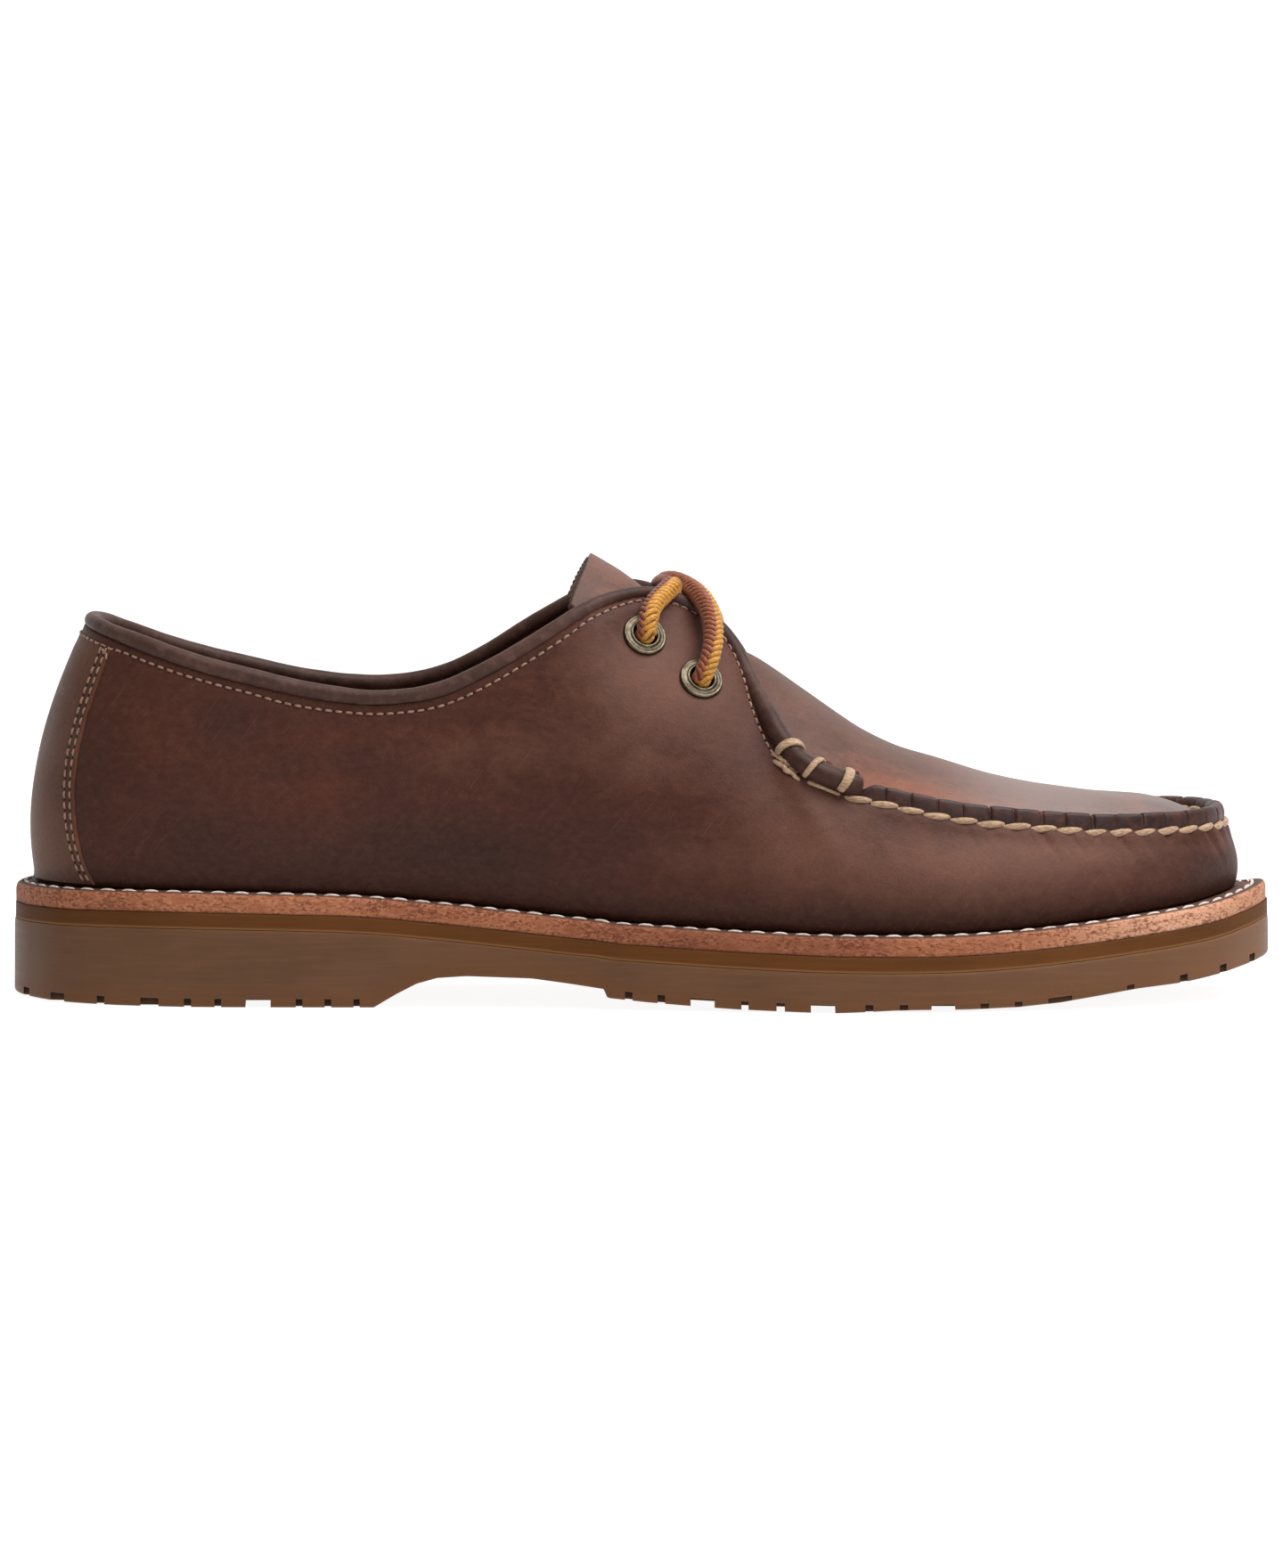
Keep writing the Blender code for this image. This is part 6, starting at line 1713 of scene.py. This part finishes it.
def braid(name, path, first, turn0, turn1, radius=LACE_R):
    """Round cord: four columns of crosswise ribs, two brown and two gold."""
    arc = arc_length(path)
    fine = np.linspace(0, arc[-1], int(arc[-1] / 0.25) + 2)
    line = np.stack([herm(arc, path[:, k], fine) for k in range(3)], -1)
    t, side, other = transport(line, first)
    roll = np.radians(np.linspace(turn0, turn1, len(fine)))
    sd = side * np.cos(roll)[:, None] + other * np.sin(roll)[:, None]
    ot = -side * np.sin(roll)[:, None] + other * np.cos(roll)[:, None]
    tubes(name + "_core", line[None, ::4], np.full((1, len(line[::4])), radius * 0.84), sd[::4][None], LACE_CORE, 16, 1.0)
    pitch = 1.37
    m = 11
    u = np.linspace(-1, 1, m)
    for colour, mat, columns in (("brown", BROWN_YARN, (0, 1)), ("gold", GOLD_YARN, (2, 3))):
        P, U, R = [], [], []
        for c in columns:
            centre = math.radians(45 + 90 * c)
            tilt = 1.0 if c % 2 == 0 else -1.0
            ks = np.arange(0.6 + (0.5 * pitch if c % 2 else 0.0), arc[-1] - 0.6, pitch)
            for q, s in enumerate(ks):
                phi = centre + u * 0.98
                at = s + tilt * u * pitch * 0.80 + 0.20 * (1 - u * u)
                def pick(a):
                    return np.stack([np.interp(at, fine, a[:, k]) for k in range(3)], -1)
                d = unit(pick(sd) * np.cos(phi)[:, None] + pick(ot) * np.sin(phi)[:, None])
                r = radius - 0.60 + 0.20 * (1 - u * u) + 0.03 * math.sin(q * 2.1 + c)
                P.append(pick(line) + d * r[:, None])
                U.append(d)
                R.append(0.70 * (0.58 + 0.42 * (1 - u * u) ** 0.7))
        tubes("%s_%s" % (name, colour), np.array(P), np.array(R), np.array(U), mat, 8, 0.9)
    return line


def build_lace():
    bind_tree = tree_of(ROLLED_EDGE)
    eyes = [tree_of(o) for o in bpy.data.objects if o.name.startswith("eyelet_ring")]
    trees = [UPPER_TREE, PLUG_TREE, bind_tree] + eyes

    def through(start, finish, crest, others=None):
        (p, n), (q, m) = EYE[start], EYE[finish]
        points = ([p - n * 3.0, p - n * 0.8, p + n * 1.6, p + n * 3.6] + [np.array(c) for c in crest]
                  + [q + m * 3.6, q + m * 1.6, q - m * 0.8, q - m * 3.0])
        return lie_clear(resample(points, 1.5), trees, LACE_R, 4, others, soft=bind_tree)

    over = through(("lateral", "lower"), ("medial", "upper"), LACE_OVER)
    a = braid("lace_over", over, np.array([0.0, -1.0, 0.2]), 184.0, 285.0)
    under = through(("lateral", "upper"), ("medial", "lower"), LACE_UNDER, a[::6])
    braid("lace_under", under, np.array([0.0, -1.0, 0.2]), 180.0, 220.0)
    (p, n), (q, m) = EYE[("lateral", "lower")], EYE[("medial", "lower")]
    points = ([p - n * 3.0, p - n * 5.2] + [np.array(c) for c in LACE_BAR] + [q - m * 5.2, q - m * 3.0])
    bar = lie_clear(resample(points, 1.5), trees[:3], LACE_R * 0.9, 2)
    line = braid("lace_hidden_bar", bar, np.array([1.0, 0.0, 0.2]), 0.0, 20.0, LACE_R * 0.9)
    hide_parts("lace_crossing")
    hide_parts("lace_bar")


build_lace()


# ------------------------------------------------------------------------- sole
def even_ring(count):
    """Angles round the sole from the toe by the lateral side, evenly spaced in length."""
    a = np.linspace(-math.pi, math.pi, 6001)
    s = arc_length(inset(a, np.full(a.shape, 3.0)))
    return np.interp(np.linspace(0, s[-1], count, endpoint=False), s, a)


def ring_solid(name, rings, mats, attrs=None, sharp=None, stations=None):
    """Closed solid of stacked rings; the end faces are strips across the shoe."""
    n = len(rings[0])
    verts = np.concatenate(rings)
    k = len(rings)
    i = np.arange(n)
    quads = [np.stack([a * n + i, a * n + (i + 1) % n, (a + 1) * n + (i + 1) % n, (a + 1) * n + i], -1)
             for a in range(k - 1)]
    quads = np.concatenate(quads)
    ends = []
    for base in (0, (k - 1) * n):
        for j in range(n // 2):
            q = [base + j, base + j + 1, base + (n - j - 1) % n, base + (n - j) % n]
            q = [v for c, v in enumerate(q) if v not in q[:c]]
            if len(q) >= 3:
                ends.append(q)
    return write_mesh(name, verts, quads, mats, tris=ends, attrs=attrs, sharp=sharp)


def mirrored_ring(count):
    """Angles at shared stations on both sides, toe first, so that strips close the ends."""
    s = arc_length(inset(np.linspace(0, math.pi, 3001), np.full(3001, 3.0)))
    half = np.interp(np.linspace(0, s[-1], count), s, np.linspace(0, math.pi, 3001))
    return np.concatenate([-half[::-1], half[1:-1]])


def build_welt():
    psi = mirrored_ring(420)
    fi = feather_inset(psi)
    g = np.maximum(fi - 2.5, 2.5) - 1.8 * smooth(234.0, 285.0, station_at(psi))
    z = np.zeros_like(psi)
    rows = []
    wob = 0.12 * value_noise(outline(psi), 7.0, 61) + 0.06 * value_noise(outline(psi), 2.0, 62)
    for d, up in ((1.9, -WELT_THICK - 0.25), (0.74, -WELT_THICK - 0.24), (0.62, -WELT_THICK - 0.12), (0.58, -WELT_THICK + 0.3),
                  (0.58, -3.4), (0.56, -2.4), (0.60, -1.6), (0.76, -0.85), (1.0, -0.40), (1.4, -0.12)):
        p = inset(psi, z + d + wob * (0.3 if d > 1.5 else 1.0))
        p[:, 2] = welt_z(p[:, 0]) + up
        rows.append((p, 1.0 if up > -0.3 else 0.0, 0.8 if up < -4.6 else 0.0))
    for d, up in ((z + 2.0, 0.0), (g - 0.95, 0.0), (g - 0.5, -0.2), (g, -0.32), (g + 0.5, -0.2), (g + 0.95, 0.0),
                  (fi - 0.5, 0.02), (fi + 0.6, 0.0), (fi + 8.0, 0.0)):
        p = on_welt(psi, d, up)
        p[:, 2] += 0.05 * value_noise(p, 4.0, 63)
        rows.append((p, 1.0, 0.0))
    p = inset(psi, fi + 8.0)
    p[:, 2] = welt_z(p[:, 0]) - WELT_THICK
    rows.append((p, 1.0, 0.0))
    P = np.stack([r[0] for r in rows], axis=1)
    n, m = P.shape[:2]
    i = np.arange(n)[:, None]
    j = np.arange(m)[None, :]
    q = np.stack([i * m + j, ((i + 1) % n) * m + j, ((i + 1) % n) * m + (j + 1) % m, i * m + (j + 1) % m], -1)
    top = np.tile(np.array([r[1] for r in rows]), n)
    low = np.tile(np.array([r[2] for r in rows]), n)
    x, y = P.reshape(-1, 3)[:, 0], P.reshape(-1, 3)[:, 1]
    ob = write_mesh("welt_strip", P.reshape(-1, 3), q.reshape(-1, 4), WELT_MAT,
                    attrs={"top": top, "low": low, "toe": smooth(240.0, 284.0, x) * (1 - 0.45 * smooth(285.0, 300.0, x)),
                           "shade": np.exp(-((x - 176.0) / 42.0) ** 2)})
    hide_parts("welt")
    # white stitching in the groove
    line = on_welt(psi, g, -0.30)
    line = np.concatenate([line, line[:1]])
    nrm = np.tile(np.array([0.0, 0.0, 1.0]), (len(line), 1))
    out = outward(np.concatenate([psi, psi[:1]]))
    nrm = unit(nrm + out * 0.15)
    dashes("welt_stitches", line, nrm, 5.5, 4.1, 0.46, WHITE_THREAD, 0.34, hole_shade=False, flat=0.8)
    return ob


def build_midsole():
    psi = mirrored_ring(360)
    total = MIDSOLE_THICK + 2 * GAP
    rings, rim, dark = [], [], []
    wob = 0.05 * value_noise(outline(psi), 6.0, 71)
    # inset, height, rim and dark for each ring: rim paints a highlight along the lower edge, dark darkens the top
    for d, up, r, k in ((4.0, -0.02, 0, 0), (0.62, -0.02, 0.2, 0.5), (0.52, 0.06, 0.9, 0.0), (0.47, 0.20, 1.0, 0.0), (0.50, 0.40, 0.5, 0.0),
                        (0.54, 0.70, 0.0, 0.05), (0.55, 2.0, 0.0, 0.0), (0.56, 3.2, 0.0, 0.0), (0.58, 3.75, 0.0, 0.15), (0.74, 3.86, 0.0, 0.8),
                        (1.5, total + 0.03 - 0.25, 0, 1.0), (4.0, total + 0.03 - 0.25, 0, 1.0)):
        p = inset(psi, np.maximum(0.05, d + wob - 0.25))
        p[:, 2] = outsole_top(p[:, 0]) + up
        rings.append(p)
        rim += [r] * len(psi)
        dark += [k] * len(psi)
    ob = ring_solid("midsole_slab", rings, MIDSOLE_MAT, attrs={"rim": rim, "warm": np.zeros(len(rim)), "dark": dark})
    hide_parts("midsole")
    return ob


def outsole_top(x):
    return welt_z(x) - WELT_THICK - MIDSOLE_THICK - 2 * GAP


def build_outsole():
    psi = mirrored_ring(430)
    rings, warm, dark, rim = [], [], [], []
    rows = [(4.0, "t", 0.0), (0.85, "t", 0.0), (0.58, "t", 0.12), (0.45, "t", 0.35), (0.40, "t", 0.9), (0.36, "t", 1.8)]
    for k in range(1, 7):
        rows.append((mix(0.34, 0.30, k / 7), "m", k / 7))
    rows += [(0.30, "b", 1.4), (0.32, "b", 0.85), (0.42, "b", 0.4), (0.75, "b", 0.08), (1.3, "b", 0.0), (3.0, "b", 0.0), (5.5, "b", 0.0), (8.6, "b", 0.0)]
    for d, kind, v in rows:
        p = inset(psi, np.full(psi.shape, max(0.0, d - 0.28) if d < 4 else d))
        zt = outsole_top(p[:, 0])
        # the outer edge of the forefoot is rounded off a little
        lift = 0.85 * smooth(196.0, 222.0, p[:, 0]) * (1 - smooth(268.0, 290.0, p[:, 0]))
        zb = tread_z(p[:, 0]) + lift * (1 - smooth(1.0, 8.5, d))
        z = {"t": zt - v, "b": zb + v, "m": mix(zt - 1.8, zb + 1.4, v)}[kind]
        p[:, 2] = z
        rings.append(p)
        h = np.clip((z - zb) / 6.5, 0, 1)
        warm.append((1 - h) ** 1.2 * (0.75 if kind != "t" else 0.3))
        dark.append(np.full(len(psi), 0.8 if d >= 3.9 and kind == "t" else 0.0) + 0.18 * (kind == "t") * (v < 0.1))
        # paler towards the toe, with a painted highlight along the top edge
        rim.append(np.full(len(psi), 0.0) + 0.5 * smooth(250, 300, p[:, 0]) + 0.25 * np.exp(-((v - 0.3) / 0.3) ** 2) * (kind == "t"))
    attrs = {"warm": np.concatenate(warm), "dark": np.concatenate(dark), "rim": np.concatenate(rim)}
    ob = ring_solid("outsole_block", rings, GUM, attrs=attrs)
    verts, faces = [], []

    def block(x0, x1, y0, y1, deep=LUG_DEPTH):
        n = len(verts)
        for x, y in ((x0, y0), (x1, y0), (x1, y1), (x0, y1)):
            verts.append((x, y, -4.0))
        for x, y in ((x0, y0), (x1, y0), (x1, y1), (x0, y1)):
            verts.append((x, y, float(tread_z(x)) + deep))
        for f in ((0, 3, 2, 1), (4, 5, 6, 7), (0, 1, 5, 4), (1, 2, 6, 5), (2, 3, 7, 6), (3, 0, 4, 7)):
            faces.append([n + k for k in f])

    for x0, x1, reach in SLOTS:
        mid = float(angle_at((x0 + x1) / 2))
        lat, med = float(outline(-mid)[1]), float(outline(mid)[1])
        ends = [float(outline(s * float(angle_at(x)))[1]) for s in (-1, 1) for x in (x0, x1)]
        block(x0, x1, -max(abs(min(ends)), abs(lat)) - 6.0, lat + min(reach, abs(lat) * 0.62))
        block(x0, x1, med - min(reach, med * 0.62), max(max(ends), med) + 6.0)
    for x0, x1, y0, y1 in WELLS:
        block(x0, x1, y0, y1)
    flat = np.zeros(len(verts))
    cutter = write_mesh("tread_cutter", verts, [], GUM, tris=faces, ride=False,
                        attrs={"warm": flat + 1.0, "dark": flat, "rim": flat})
    carve(ob, cutter)
    ob.data.shade_smooth()
    ob.data.set_sharp_from_angle(angle=math.radians(32.0))
    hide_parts("outsole")
    return ob


def build_sock():
    psi = mirrored_ring(260)
    rings = []
    fi = feather_inset(psi)
    for extra, up in ((9.0, 0.2 - WELT_THICK), (8.6, 0.3), (WALL_THICK + 0.9, 0.45), (WALL_THICK + 0.5, 1.2),
                      (WALL_THICK + 0.8, 2.4), (WALL_THICK + 2.0, 2.75), (9.5, 2.8)):
        rings.append(on_welt(psi, fi + extra, up))
    ob = ring_solid("sock_board", rings, SOCK, sharp=50.0)
    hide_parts("insole")
    return ob


build_welt()
build_midsole()
build_outsole()
build_sock()


# -------------------------------------------------------- floor, light and camera
def build_floor():
    k = 128
    a = np.arange(k) * 2 * math.pi / k
    rim = vec(40000 * np.cos(a) + 152.5, 40000 * np.sin(a), 0.0)
    verts = np.concatenate([[[152.5, 0.0, 0.0]], rim])
    tris = [[0, i + 1, (i + 1) % k + 1] for i in range(k)]
    ob = write_mesh("studio_floor", verts, [], floor_material(), tris=tris, ride=False)
    if ob.data.polygons[0].normal.z < 0:
        ob.data.flip_normals()


build_floor()


def area_light(name, at, target, sx, sy, power, colour=(1, 1, 1)):
    data = bpy.data.lights.new(name, "AREA")
    data.shape, data.size, data.size_y = "RECTANGLE", sx, sy
    data.energy, data.color = power, colour
    ob = bpy.data.objects.new(name, data)
    bpy.context.scene.collection.objects.link(ob)
    ob.location = at
    ob.rotation_euler = (Vector(target) - Vector(at)).to_track_quat("-Z", "Y").to_euler()
    return ob


def studio_world():
    """Dim in front of the shoe, bright overhead and behind it."""
    world = bpy.data.worlds.new("studio")
    world.use_nodes = True
    t = world.node_tree
    bg = t.nodes["Background"]
    bg.inputs["Color"].default_value = (1, 1, 1, 1)
    coord = t.nodes.new("ShaderNodeTexCoord")
    split = t.nodes.new("ShaderNodeSeparateXYZ")
    t.links.new(coord.outputs["Generated"], split.inputs[0])
    y = t.nodes.new("ShaderNodeMapRange")
    t.links.new(split.outputs["Y"], y.inputs["Value"])
    for key, v in (("From Min", -0.6), ("From Max", 0.6), ("To Min", 0.14), ("To Max", 1.10)):
        y.inputs[key].default_value = v
    t.links.new(y.outputs["Result"], bg.inputs["Strength"])
    bpy.context.scene.world = world


studio_world()
area_light("overhead_softbox", (0.38, -0.25, 1.05), (0.06, 0.0, 0.04), 1.0, 0.8, 20.0)
area_light("front_softbox", (0.85, -1.20, 0.60), (0.08, 0.0, 0.05), 0.7, 0.6, 6.0)

cam_data = bpy.data.cameras.new("photo_camera")
cam = bpy.data.objects.new("photo_camera", cam_data)
bpy.context.scene.collection.objects.link(cam)
DIST, ELEV = 10.0, math.radians(4.98)
aim = Vector((0.0, 0.00152, 0.0511))
cam.location = aim + Vector((0.0, -math.cos(ELEV), math.sin(ELEV))) * DIST
cam.rotation_euler = (aim - cam.location).to_track_quat("-Z", "Y").to_euler()
cam_data.sensor_fit = "VERTICAL"
cam_data.sensor_height = 36.0
cam_data.sensor_width = 36.0
cam_data.lens = 36.0 * DIST / 0.3813
cam_data.clip_end = 200.0
bpy.context.scene.camera = cam
bpy.context.scene.view_settings.view_transform = "Standard"
bpy.context.scene.view_settings.look = "None"
